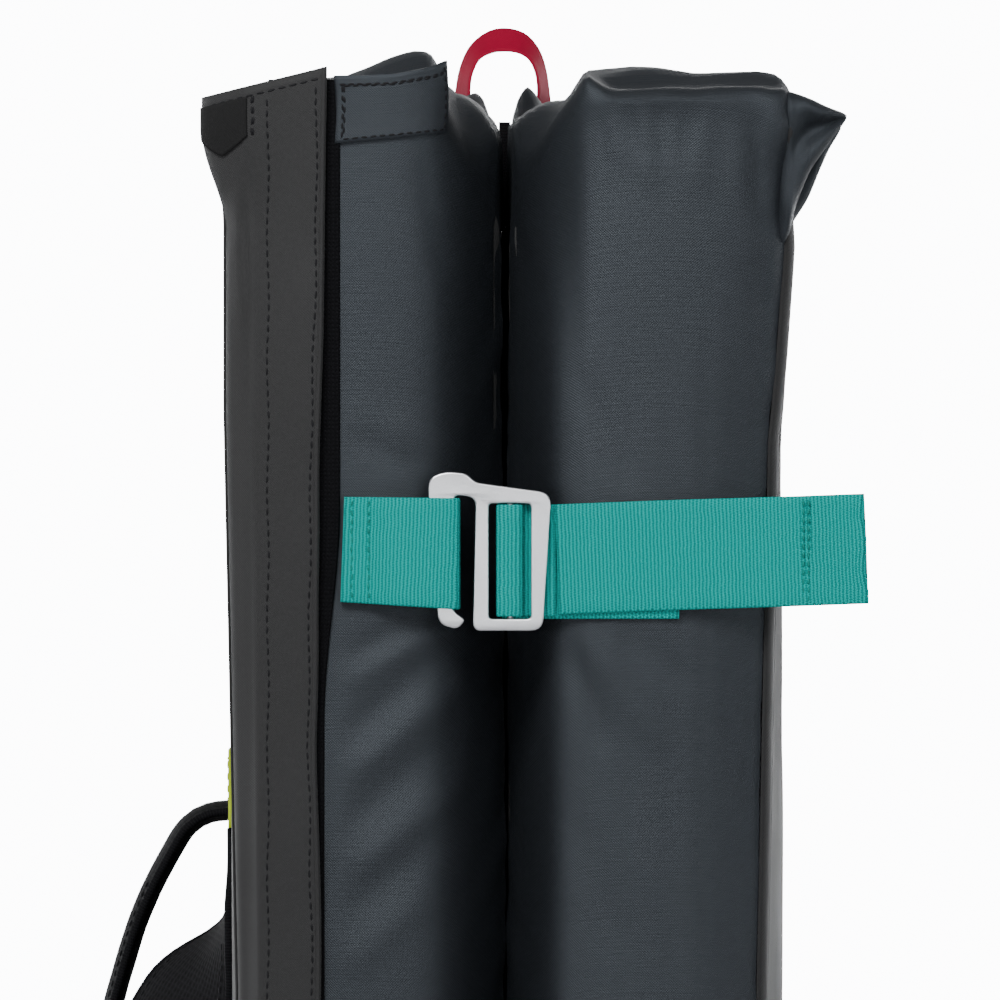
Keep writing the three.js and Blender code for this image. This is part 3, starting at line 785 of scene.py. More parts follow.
class CRASHPAD_OT_stage(Operator):
    """Lay a pale floor and set soft studio lights round the pad"""

    bl_idname = "crashpad.stage"
    bl_label = "Floor and lights"

    def execute(self, context):
        look = Finish("pale_floor", (0.82, 0.82, 0.83), 0.7, specular=0.2)
        cloud = look.grain(1.3, 3)
        look.colour(look.tint(cloud, 0.975, 1.01))
        look.bump(look.grain(220, 3), 0.3, 0.1)
        rings = [0.0005, 0.4, 1.0, 2.0, 4.0, 8.0, 15.0, 25.0]
        turn = np.linspace(0, 2 * math.pi, 64, endpoint=False)
        grid = np.array([[(r * 1000 * math.cos(a), r * 1000 * math.sin(a), -0.6) for a in turn]
                         for r in rings])
        floor = sheet_piece("pale_floor", grid, look.finish(), None, join_across=True, flip=True)
        area_light("front_key", (-0.45, -1.5, 2.05), (0.7, 0.6), 35)
        area_light("front_fill", (0.8, -2.1, 1.8), (0.6, 0.6), 9)
        area_light("left_fill", (-3.6, 0.3, 1.3), (1.4, 1.8), 9)
        area_light("right_fill", (3.6, 0.5, 1.3), (1.4, 1.8), 9)
        area_light("back_soft", (0.4, 4.2, 1.7), (1.8, 1.6), 40)
        world = bpy.data.worlds.new("pale_room")
        world.use_nodes = True
        tree = world.node_tree
        sky = next(n for n in tree.nodes if n.type == "BACKGROUND")
        sky.inputs["Color"].default_value = (0.97, 0.98, 1.0, 1)
        # A pale wall behind the pad at eye level, and a dim room all round it.
        place = joined_node(tree, "TexCoord", ()).outputs["Generated"]
        split = joined_node(tree, "SeparateXYZ", (place,)).outputs
        height = joined_node(tree, "Math", (split[2],), operation="ABSOLUTE").outputs[0]
        band = joined_node(tree, "MapRange", (height, 0.026, 0.085, 13.0, 0.28),
                           interpolation_type="SMOOTHSTEP").outputs[0]
        behind = joined_node(tree, "MapRange", (split[1], 0.1, 0.6, 0.5, 1.0),
                             interpolation_type="SMOOTHSTEP").outputs[0]
        strength = joined_node(tree, "Math", (band, behind), operation="MULTIPLY").outputs[0]
        tree.links.new(strength, sky.inputs["Strength"])
        context.scene.world = world
        return {"FINISHED"}


# ---- covers ----

# Puffed side bands: distance from the outer face, and how far each stands proud of the seam line.
BAND_PROFILES = {
    -1: [(3.6, 3.2), (5.5, 5.6), (9, 8.0), (15, 10.8), (26, 13.1), (40, 14.0), (54, 13.8), (62, 13.0),
         (67, 11.9), (71, 10.1), (74, 7.6), (77, 3.8), (80, -1.0), (83, -6.6), (87, -15.5), (91, -25.0),
         (95.9, -38.0)],
    1: [(3.6, 3.2), (5.5, 5.8), (9, 8.4), (15, 11.2), (26, 13.3), (40, 14.0), (54, 13.7), (64, 12.6),
        (69, 11.2), (71.5, 9.2), (75, 5.6), (79, 0.9), (83, -4.6), (87, -11.4), (90.5, -19.0), (93, -27.5),
        (95.9, -38.0)],
}
# The lid's band below its top: the crease moves towards the gap, and the outer edge is rounder.
LID_LOW = [(3.6, 3.2), (5.5, 4.6), (9, 6.2), (15, 8.9), (22, 11.4), (30, 13.0), (42, 13.9), (60, 14.0),
           (70, 13.6), (75, 12.8), (78, 11.2), (80.5, 8.2), (83, 3.4), (86, -4.4), (89, -13.6), (92, -24.0),
           (95.9, -38.0)]
# How far the outer corners of the closure side lean in, by height.
LEAN_HEIGHTS = (0, 250, 420, 600, 680, 730, 800, 850, 885, 1010)
LEAN_IN = (0, 0, 2.2, 4.2, 4.3, 3.2, 1.8, 0.7, 0, 0)
# Slack of the lid's outer corner under its ear, by height.
SLACK_HEIGHTS = (0, 874, 888, 903, 917, 931, 943, 955, 965, 975, 984, 992, 1010)
SLACK_OUT = (0, 0, 1.2, 2.6, 3.6, 4.6, 5.4, 4.6, 4.4, 5.6, 6.8, 7.2, 7.2)


def corner_shift(side, z):
    """Sideways movement of an outer corner on the closure side, outwards when positive."""
    out = -np.interp(z, LEAN_HEIGHTS, LEAN_IN)
    if side > 0:
        out = out + np.interp(z, SLACK_HEIGHTS, SLACK_OUT)
    return out


def corner_fill(side, u, y, z):
    """How far the lid's top corner is pulled forward where its slack gathers into the ear."""
    if side < 0:
        return 0.0
    return 5.2 * falloff(u, 17, 4) * falloff(z, 968, 986) * falloff(-y, 303, 312)


def band_offset(side, u):
    return np.interp(u, [p[0] for p in BAND_PROFILES[side]], [p[1] for p in BAND_PROFILES[side]])


EDGE_PROFILE = [(3.6, 3.2), (2.6, 3.6), (1.3, 2.2), (0.35, -0.2), (-0.1, -3.0), (-0.5, -9.0)]


def ring_stations(offset, radius):
    """Points (y, z) round one half at a distance outside its seam line, starting low on the closure side."""
    y_edge, low, high = HALF_DEPTH + offset, SEAM_LOW - offset, SEAM_TOP + offset
    tall = np.concatenate([np.linspace(0, 0.63, 88, endpoint=False), np.linspace(0.63, 1, 116)])
    points = [(-y_edge, low + radius + f * (high - low - 2 * radius)) for f in tall[:-1]]

    def arc(cy, cz, start):
        for k in range(10):
            angle = start - k * math.pi / 18
            points.append((cy + radius * math.cos(angle), cz + radius * math.sin(angle)))

    arc(-y_edge + radius, high - radius, math.pi)
    points.extend((-y_edge + radius + f * 2 * (y_edge - radius), high) for f in np.linspace(0, 1, 106)[1:-1])
    arc(y_edge - radius, high - radius, math.pi / 2)
    points.extend((y_edge, high - radius - f * (high - low - 2 * radius))
                  for f in np.linspace(0, 1, 140)[1:-1])
    arc(y_edge - radius, low + radius, 0)
    points.extend((y_edge - radius - f * 2 * (y_edge - radius), low) for f in np.linspace(0, 1, 80)[1:-1])
    arc(-y_edge + radius, low + radius, -math.pi / 2)
    return np.array(points)


def ring_grid(profile, side):
    """Rows round the half, columns across it from the outer face."""
    radius = CORNER if side < 0 else LID_CORNER
    columns = []
    for u, offset in profile:
        ring = ring_stations(offset, radius)
        x = np.full(len(ring), side * (OUTER - u))
        columns.append(np.column_stack([x, ring]))
    return np.stack(columns, axis=1)


def grid_normals(grid, closed=True):
    if closed:
        along = np.roll(grid, -1, 0) - np.roll(grid, 1, 0)
    else:
        along = np.gradient(grid, axis=0)
    across = np.gradient(grid, axis=1)
    normal = np.cross(across, along)
    return normal / np.maximum(np.linalg.norm(normal, axis=2), 1e-9)[..., None]


def seam_puckers(place, u_near, seed):
    """Short gathers that die away from a seam; place runs along it."""
    width = 9.0
    along = np.stack([place / 13.0, np.full_like(place, seed * 3.1), np.zeros_like(place)], axis=-1)
    wave = rumple(along, 1.0, seed, 2)
    return wave * np.exp(-(u_near / width) ** 2)


def band_shape(side):
    """The side band's surface, with its wrinkles, for the harness half (-1) or the lid half (+1)."""
    profile = smooth_route([(u, o, 0) for u, o in BAND_PROFILES[side]], 2.4)[:, :2]
    grid = ring_grid(profile, side)
    x, y, z = grid[..., 0], grid[..., 1], grid[..., 2]
    u = OUTER - np.abs(x)
    normal = grid_normals(grid) * side
    run = np.linalg.norm(grid - np.roll(grid, 1, 0), axis=2).cumsum(axis=0)
    pucker = sizes().pucker * 1000
    calm = 0.35 + 0.65 * falloff(y, -322, -250)
    lift = seam_puckers(run, u - 3.6, 2 + side) * pucker * (0.5 + calm)
    lift += seam_puckers(run + 500, 97 - u, 5 + side) * pucker * 1.4
    lift += rumple(grid, 130, 3 + side) * 1.3 + rumple(grid * [1, 1, 0.6], 42, 8 + side) * 0.42 * calm
    front = falloff(-y, 296, 310)
    own_edge = band_offset(side, u)
    top = falloff(z - SEAM_TOP - own_edge, -9, -1)
    if side > 0:
        facing = falloff(-y - HALF_DEPTH - own_edge, -9, -1)
        low_edge = np.interp(u, *zip(*LID_LOW))
        grid[..., 1] -= facing * (low_edge - own_edge) * falloff(z, 962, 880) * falloff(z, 24, 60)
    if side < 0:
        # Strap pull lines below the upper hook, and the tops pushed up behind the tab.
        for (x0, z0), (x1, z1), width, height in LEFT_PULLS:
            lift += front * fold_line(x, z, (x0, z0), (x1, z1), width, height) * falloff(x, -62, -52) * 0.72
        rise = np.interp(x, [-60, -54, -48, -42.5, -37, -32, -26.6, -23.5, -20.5, -17, -12],
                         [0, 3.0, 5.5, 7.7, 9.6, 11.5, 13.0, 10.5, 5.2, 1.2, 0])
        rise *= np.exp(-(((y + 276) / 26) ** 2))
        rise -= 3.0 * np.exp(-(((x + 48) / 14) ** 2)) * np.exp(-(((y + 296) / 14) ** 2))
    else:
        for (x0, z0), (x1, z1), width, height in RIGHT_PULLS:
            lift += front * fold_line(x, z, (x0, z0), (x1, z1), width, height)
        rise = np.interp(x, [22, 28, 34, 45, 60, 72, 82, 90, 94],
                         [0, 2.2, 3.8, 3.8, 1.8, 1.2, 2.2, 4.4, 4.0])
        rise *= np.exp(-(((y + 270) / 24) ** 2))
        rise += np.interp(u, [0, 4, 8, 13, 20, 30], [6.4, 6.4, 5.6, 4.4, 2.2, 0.0]) * falloff(y, -225, -262)
        rise += 2.6 * np.exp(-(((x - 29) / 3.4) ** 2)) * falloff(y, -240, -290)
        rise -= 4.2 * falloff(y, -286, -302) * falloff(x, 29, 40) * falloff(x, 97, 86)
    rise += 1.8 * (1 - (y / 330) ** 2) * top * (1 - (np.abs(u - 46) / 60) ** 2)
    rise += rumple(grid * [1, 0.7, 0], 40, 12 + side) * 1.6 * top
    # The top is fuller towards the fold than the closure side is, and drops straight into the gap.
    full_edge = 8.0 - 0.055 * (u - 79) ** 2 if side < 0 else 5.4 - 0.027 * (u - 77) ** 2
    # Two small puffs of cloth stand up where the tops meet the fold.
    middle, height, width = (-8.5, 8.0, 6.5) if side < 0 else (8.0, 13.0, 5.6)
    rise += height * np.exp(-(((x - middle) / width) ** 2)) * np.exp(-(((y - 282) / 17) ** 2))
    fuller = np.clip(full_edge - own_edge, 0, 50) * falloff(u, 66, 76) * falloff(u, 95.9, 94.9)
    rise += fuller * falloff(y, -300, -262) * falloff(y, 312, 290)
    grid = grid + normal * lift[..., None]
    grid[..., 2] += rise * top
    if side > 0:
        # A sharper fold where the front turns over the top, and the face square to its inner edge.
        crease = falloff(z, 975, 999) * falloff(-y, 290, 315) * falloff(x, 18, 34)
        grid[..., 1] -= 3.4 * crease * np.exp(-(((z - 1001) / 9) ** 2))
    grid[..., 1] -= corner_fill(side, u, grid[..., 1], grid[..., 2])
    grid[..., 0] += side * corner_shift(side, z) * falloff(-y, 240, 300) * falloff(u, 34, 6)
    grid[..., 2] = np.where(z < 40, np.maximum(grid[..., 2], GROUND_GAP), grid[..., 2])
    return grid


# Ridges on the front, as (start x, z), (end x, z), width and height; creases are negative.
LEFT_PULLS = [
    ((-58, 796), (-22, 814), 4.6, 1.8), ((-60, 786), (-22, 809), 3.8, -1.6),
    ((-60, 766), (-16, 804), 5.4, 2.2), ((-59, 752), (-12, 792), 4.6, -2.0),
    ((-60, 734), (-16, 772), 6.2, 2.1), ((-58, 718), (-12, 756), 5.0, -1.7),
    ((-60, 702), (-22, 736), 6.0, 1.5), ((-60, 684), (-24, 716), 5.0, -1.2),
    ((-56, 876), (-28, 862), 4.6, 1.1), ((-42, 884), (-12, 866), 4.6, -1.0),
    ((-59, 950), (-56, 880), 4.0, 0.8), ((-30, 978), (-22, 930), 4.5, 1.2),
]
RIGHT_PULLS = [
    ((37, 993), (43, 970), 3.2, -0.7), ((48, 994), (52, 962), 3.8, -0.9), ((60, 993), (59, 968), 3.6, -0.6),
    ((71, 994), (66, 960), 4.0, -0.7), ((84, 993), (86, 948), 2.8, 1.3), ((43, 990), (49, 974), 3.0, 0.5),
    ((55, 994), (57, 970), 3.2, 0.6), ((66, 992), (62, 974), 3.0, 0.4), ((78, 993), (80, 960), 3.2, -0.7),
    ((26, 900), (44, 856), 5.0, 0.9), ((20, 806), (36, 762), 5.0, 1.4), ((28, 806), (56, 764), 5.5, -1.0),
    ((40, 808), (70, 786), 5.0, 0.7), ((84, 940), (90, 915), 4.0, 0.9), ((24, 745), (40, 690), 6.0, 0.8),
]


def rounded_corner(y, z, half_y, half_z, radius):
    """Pulls the corners of a flat rectangle in to an arc."""
    dy, dz = np.abs(y) - (half_y - radius), np.abs(z) - (half_z - radius)
    reach = np.hypot(dy, dz)
    outside = (dy > 0) & (dz > 0) & (reach > radius)
    share = np.where(outside, radius / np.maximum(reach, 1e-6), 1.0)
    y = np.where(outside, np.sign(y) * (half_y - radius + dy * share), y)
    z = np.where(outside, np.sign(z) * (half_z - radius + dz * share), z)
    return y, z


def face_grid(side, inset, distance, crown, seed, radius, slack=1.0):
    """A large flat face, crowned and lightly rumpled; distance is from the fold plane."""
    half_y, half_z = HALF_DEPTH - inset, (SEAM_TOP - SEAM_LOW) / 2 - inset
    y, z = np.meshgrid(np.linspace(-half_y, half_y, 76), np.linspace(-half_z, half_z, 116))
    y, z = rounded_corner(y, z, half_y, half_z, radius)
    edge = np.minimum(half_y - np.abs(y), half_z - np.abs(z))
    inner = falloff(edge, 0, 34)
    bulge = crown * (1 - (y / half_y) ** 4) * (1 - (z / half_z) ** 4)
    place = np.stack([np.zeros_like(y), y, z], axis=-1)
    waves = rumple(place, 150, seed) * 1.3 + rumple(place * [1, 1, 0.55], 46, seed + 3) * 0.55
    near_edge = np.exp(-((edge - 10) / 22) ** 2) * falloff(edge, 0, 8)
    waves = waves * inner + rumple(place * [1, 1, 1], 19, seed + 6) * 0.5 * near_edge
    x = side * (distance + bulge + waves * slack)
    return np.stack([x, y, z + (SEAM_TOP + SEAM_LOW) / 2], axis=-1)


class CRASHPAD_OT_covers(Operator):
    """Sew the two covers: a puffed side band and two faces for each half"""

    bl_idname = "crashpad.covers"
    bl_label = "Covers"

    def execute(self, context):
        for half, side in (("harness", -1), ("lid", 1)):
            body = half + "_half"
            grid = band_shape(side)

            def closed_cloth(i, j, grid=grid, side=side):
                """False in the slot under the flap, where the foam goes in."""
                x, y, z = grid[i, j]
                between_edges = SLOT_NEAR < OUTER - abs(x) < SLOT_FAR
                return not (side < 0 and y < -300 and SLOT_LOW < z < SLOT_TOP and between_edges)

            band = sheet_piece(f"{half}_side_band", grid, finish_of("side_cloth"), body, join_along=True,
                               flip=side < 0, keep=closed_cloth)
            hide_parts(f"{half}_gusset")
            edge = ring_grid(smooth_route([(u, o, 0) for u, o in EDGE_PROFILE], 1.1)[:, :2], side)
            edge[..., 1] -= corner_fill(side, OUTER - np.abs(edge[..., 0]), edge[..., 1], edge[..., 2])
            edge[..., 0] += side * corner_shift(side, edge[..., 2]) * falloff(-edge[..., 1], 200, 300)
            edge[..., 2] = np.maximum(edge[..., 2], GROUND_GAP)
            border = sheet_piece(f"{half}_face_edge", edge, finish_of("face_cloth"), body, join_along=True,
                                 flip=side > 0)
            face = face_grid(side, 8.5, OUTER + 0.55, 0.2 if side < 0 else 1.9, 21 + side, 8,
                             0.45 if side < 0 else 1.0)
            face[..., 0] += side * corner_shift(side, face[..., 2]) * falloff(-face[..., 1], 200, 300)
            outer = sheet_piece(f"{half}_outer_face", face, finish_of("face_cloth"), body, flip=side > 0)
            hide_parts(f"{half}_outer_panel")
            pressed = face_grid(side, 30.0, 1.5, -0.4, 31 + side, 14)
            rim = np.minimum(HALF_DEPTH - 30 - np.abs(pressed[..., 1]), 458 - np.abs(pressed[..., 2] - 500))
            pressed[..., 0] = side * np.clip(np.abs(pressed[..., 0]), 0.6, 2.6)
            pressed[..., 0] += side * 2.6 * falloff(rim, 12, 0)
            landing = sheet_piece(f"{half}_landing_face", pressed, finish_of("landing_cloth"), body,
                                  flip=side < 0)
            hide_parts(f"{half}_landing_panel")
            rows = slice(216, 416)  # over the top and down the back
            run = list(zip(grid[rows, 2], (grid_normals(grid) * side)[rows, 2]))
            stitches = stitch_piece(f"{half}_seam_stitches", [run], finish_of("thread"), body,
                                    length=3.0, gap=1.4, thread=0.55, slot="black_webbing")
            sewn_on(stitches, band)
        return {"FINISHED"}


class CRASHPAD_OT_foam(Operator):
    """Cut the three foam slabs inside each cover"""

    bl_idname = "crashpad.foam"
    bl_label = "Foam slabs"

    LAYERS = {"base": (4.0, 18.0, "firm_foam"), "core": (18.5, 67.5, "soft_foam"),
              "firm": (68.2, 89.5, "firm_foam")}

    def execute(self, context):
        for half, side in (("harness", -1), ("lid", 1)):
            for layer, (u0, u1, finish) in self.LAYERS.items():
                slices = []
                for u in np.linspace(u0, u1, 9):
                    puff = float(min(band_offset(side, u0), band_offset(side, u1)))
                    cut_edge = 1.6 * (1 - math.sin(math.pi * (u - u0) / (u1 - u0)) ** 0.5)
                    ring = ring_stations(min(puff, 4.0) - 8.0 - cut_edge, CORNER)[::5]
                    slices.append(np.column_stack([np.full(len(ring), side * (OUTER - u)), ring]))
                grid = np.array(slices)
                grid[..., 1:] *= 1 + rumple(grid, 60, 81)[..., None] * 0.0006
                slab = sheet_piece(f"{half}_{layer}_slab", grid, finish_of(finish), f"{half}_half",
                                   join_across=True, cap=True, flip=side < 0)
                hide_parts(f"{half}_{layer}_foam")
        return {"FINISHED"}


# ---- closure flap and top tab ----


def edge_drift(z):
    """How far the flap's free edge wanders back towards its root, by height."""
    return np.interp(z, [0, 676, 768, 873, 938, 1003], [1.6, 1.6, 3.2, 2.1, 0.3, 0.0])


def flap_grid():
    """Outer surface of the flap: rows up its height, columns from its fold to the free edge."""
    z = np.concatenate([np.linspace(20, 640, 110, endpoint=False), np.linspace(640, 1003, 126)])
    columns = smooth_route([(-98.8, -309.6, 0, 1.0), (-98.9, -312.4, 0, 1.0), (-97.7, -315.8, 0, 0.9),
                            (-94.2, -319.4, 0, 0.65), (-90.2, -323.4, 0, 0.42), (-87.8, -324.9, 0, 0.32),
                            (-79.0, -326.9, 0, 0.1), (-71.0, -328.2, 0, 0.0), (-64.2, -328.9, 0, 0.0)], 1.7)
    x, y, share = (np.tile(columns[:, k], (len(z), 1)) for k in (0, 1, 3))
    place = np.repeat(z[:, None], len(columns), axis=1)
    flare = 8.6 * falloff(place, 952, 992)
    x = x - flare * share - corner_shift(-1, place) * np.clip(share * 1.3, 0, 1)
    y = y - 0.8 * flare * share * (1 - share) * 2
    waves = rumple(np.stack([x * 0.3, place * 0, place], axis=-1), 60, 41)
    edge = falloff(x, -84, -64)
    y = y - 1.1 * waves * (0.35 + 0.65 * edge)
    x = x + 0.7 * rumple(np.stack([place * 0, place * 0, place], axis=-1), 75, 43) * edge
    x = x - edge_drift(place) * edge
    # Soft vertical crease beside the patch and a dent under it where the cloth flares.
    y = y + fold_line(x, place, (-91.5, 975), (-90.0, 880), 2.6, 1.5)
    y = y - fold_line(x, place, (-95.5, 968), (-93.0, 915), 2.6, 1.6)
    y = y + fold_line(x, place, (-101, 968), (-97, 948), 3.2, 1.6)
    y = y + fold_line(x, place, (-90.0, 880), (-89.8, 660), 2.0, 0.8)
    rise = (x + 107) / 43 * 10.6 - 7.2
    place = place + rise * falloff(place, 820, 1003)
    return np.stack([x, y, place], axis=-1)


def doubled(grid, thick):
    """A thin cloth slab: the surface, its back, and folded edges, as rows of closed loops."""
    back = grid - grid_normals(grid, closed=False) * thick
    across = np.gradient(grid, axis=1)[:, [-1, 0]]
    across = across / np.linalg.norm(across, axis=2)[..., None] * thick * 0.5
    middle = (grid + back)[:, [-1, 0]] / 2
    return np.concatenate([grid, (middle + across)[:, :1], back[:, ::-1], (middle - across)[:, 1:]], axis=1)


def cloth_piece(name, grid, thick, finish, body, flip=False):
    """A slab of cloth, tape or binding with folded edges."""
    return sheet_piece(name, doubled(grid, thick), finish_of(finish), body, join_across=True, cap=True,
                       flip=flip)


def column_at(grid, x, row):
    across = grid[int(round(row)), :, 0]
    return float(np.interp(x, across, np.arange(len(across))))


class CRASHPAD_OT_flap(Operator):
    """Sew the full-height flap, its corner patch, its hook tape and the loop tape under it"""

    bl_idname = "crashpad.flap"
    bl_label = "Closure flap"

    def execute(self, context):
        grid = flap_grid()
        flap = cloth_piece("closure_flap_cloth", grid, 1.5, "flap_cloth", None)
        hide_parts("closure_flap")
        rows = len(grid)
        runs = []
        for x in (-84.0, -66.7):
            drift = edge_drift(grid[:, -1, 2]) * falloff(x, -84, -64)
            cells = [(i, column_at(grid, x - drift[i] + 0.35 * math.sin(i * 0.4), i))
                     for i in range(2, rows - 2)]
            runs.append(surface_run(grid, cells))
        hem_row = rows - 2.25
        runs.append(surface_run(grid, [(hem_row, j) for j in np.linspace(4.5, grid.shape[1] - 2, 60)]))
        for shift in (0.0, 0.55):
            cells = [(i, column_at(grid, -89.7 + shift + 0.3 * math.sin(i * 2.1), i))
                     for i in np.arange(rows - 7.4, rows - 2, 0.4)]
            runs.append(surface_run(grid, cells))
        stitches = stitch_piece("flap_stitches", runs, finish_of("thread"), None, slot="black_webbing")
        fringe = surface_run(grid, [(i, grid.shape[1] - 1.2) for i in range(rows)])
        tube_piece("flap_edge", [p + n * 0.1 for p, n in fringe], 0.75, finish_of("flap_cloth"), "flap")
        patch_rows = []
        for t in np.linspace(0, 1, 16):
            row = []
            for v in np.linspace(0, 1, 14):
                column = 2.2 + v * (column_at(grid, -91.4, rows - 8) - 2.2)
                low = np.interp(v, [0, 0.45, 1], [rows - 6.4, rows - 9.0, rows - 7.2])
                high = rows - 2.3
                row.append(surface_run(grid, [(low + (high - low) * t, column)], 0.75)[0][0])
            patch_rows.append(row)
        patch = cloth_piece("flap_patch", np.array(patch_rows), 0.9, "patch_cloth", None)
        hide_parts("flap_corner_patch")
        for piece in (flap, patch, stitches):
            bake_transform(piece)
        hook = self.tape("hook_tape_strip", "flap", -82.0, -68.5, 1.6, 24, 985)
        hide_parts("hook_tape")
        loop = self.tape("loop_tape_strip", "harness_half", -83.5, -59.0, 0.3, 24, 1002)
        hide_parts("loop_tape")
        self.side_margin()
        return {"FINISHED"}

    def tape(self, name, body, x0, x1, lift, z0, z1):
        columns = np.linspace(x0, x1, 12)
        u = columns + OUTER
        offset = band_offset(-1, u)
        z = np.linspace(z0, z1, 200)
        grid = np.zeros((len(z), len(columns), 3))
        # The band's cloth closes in over the tape's inner edge lower down.
        tuck = 5.5 * falloff(z, 850, 775) if x1 > -60 else 0 * z
        grid[..., 0] = columns[None] - tuck[:, None] * ((columns - x0) / (x1 - x0))[None]
        grid[..., 1] = (-HALF_DEPTH - offset - lift - 1.0)[None]
        grid[..., 2] = z[:, None]
        grid[..., 1] -= rumple(grid * [0, 0, 1], 60, 41) * 0.4
        return cloth_piece(name, grid, 1.0, "fuzzy_tape", body)

    def side_margin(self):
        """The flap's sewn root, a narrow strip along the harness face."""
        z = np.linspace(22, 1000, 160)
        y = np.linspace(-292, -310.6, 8)
        grid = np.zeros((len(z), len(y), 3))
        flare = 8.0 * falloff(z, 952, 992)
        bend = falloff(-y, 294, 309)
        grid[..., 0] = -98.9 - flare[:, None] * bend[None] * 0.95 - corner_shift(-1, z)[:, None]
        grid[..., 1] = y[None]
        grid[..., 2] = z[:, None] - 3.5 * falloff(z, 950, 1000)[:, None] - 2 * falloff(z, 980, 1000)[:, None]
        grid = grid[:, ::-1]
        margin = cloth_piece("flap_root", grid, 1.0, "flap_cloth", "harness_half")
        cells = [(i, 4.5) for i in range(2, len(z) - 3)]
        stitches = stitch_piece("flap_root_stitches", [surface_run(grid, cells)], finish_of("thread"),
                                "harness_half", slot="black_webbing")
        sewn_on(stitches, margin)


class CRASHPAD_OT_top_tab(Operator):
    """Fold and box-stitch the doubled tab beside the flap"""

    bl_idname = "crashpad.top_tab"
    bl_label = "Top tab"

    def execute(self, context):
        x = np.linspace(-60.2, -20.6, 30)
        share = np.linspace(0, 1, 18)
        grid = np.zeros((len(share), len(x), 3))
        low = 979.5 + (x + 58.4) / 37.8 * 3.6
        high = np.interp(x, [-64, -58.4, -40, -26, -20.6], [1003.2, 1003.4, 1003.8, 1006.4, 1008.6])
        grid[..., 0] = x[None] + 0.6 * np.sin(share * 3)[:, None]
        grid[..., 2] = low[None] + (high - low)[None] * share[:, None]
        offset = band_offset(-1, x + OUTER)
        grid[..., 1] = -HALF_DEPTH - offset[None] - 1.4 - 0.9 * share[:, None] ** 2
        grid[..., 1] -= 0.5 * np.sin(x / 6.3)[None] * share[:, None] ** 3
        grid[..., 1] -= 1.6 * falloff(x, -28, -20.6)[None] * share[:, None] ** 2
        tab = cloth_piece("top_tab_cloth", grid, 1.2, "side_cloth", "harness_half")
        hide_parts("top_tab")
        rows, columns = len(share) - 1, len(x) - 1
        left, right, low_row, high_row = 1.6, columns - 0.7, 0.9, rows - 2.3
        lines = [
            [(high_row, j) for j in np.linspace(left - 1, right, 40)],
            [(high_row - 0.35, j) for j in np.linspace(left, right, 40)],
            [(low_row, j) for j in np.linspace(left, right, 40)],
            [(i, left + 0.1 * math.sin(i * 3)) for i in np.linspace(low_row, high_row, 24)],
            [(i, left + 0.45) for i in np.linspace(low_row + 1, high_row, 24)],
            [(i, right - 0.1 * math.sin(i * 2)) for i in np.linspace(low_row, high_row + 1.6, 24)],
        ]
        stitches = stitch_piece("tab_stitches", [surface_run(grid, cells) for cells in lines],
                                finish_of("thread"), "harness_half", length=2.3, gap=0.7, thread=0.85,
                                slot="black_webbing")
        sewn_on(stitches, tab)
        return {"FINISHED"}


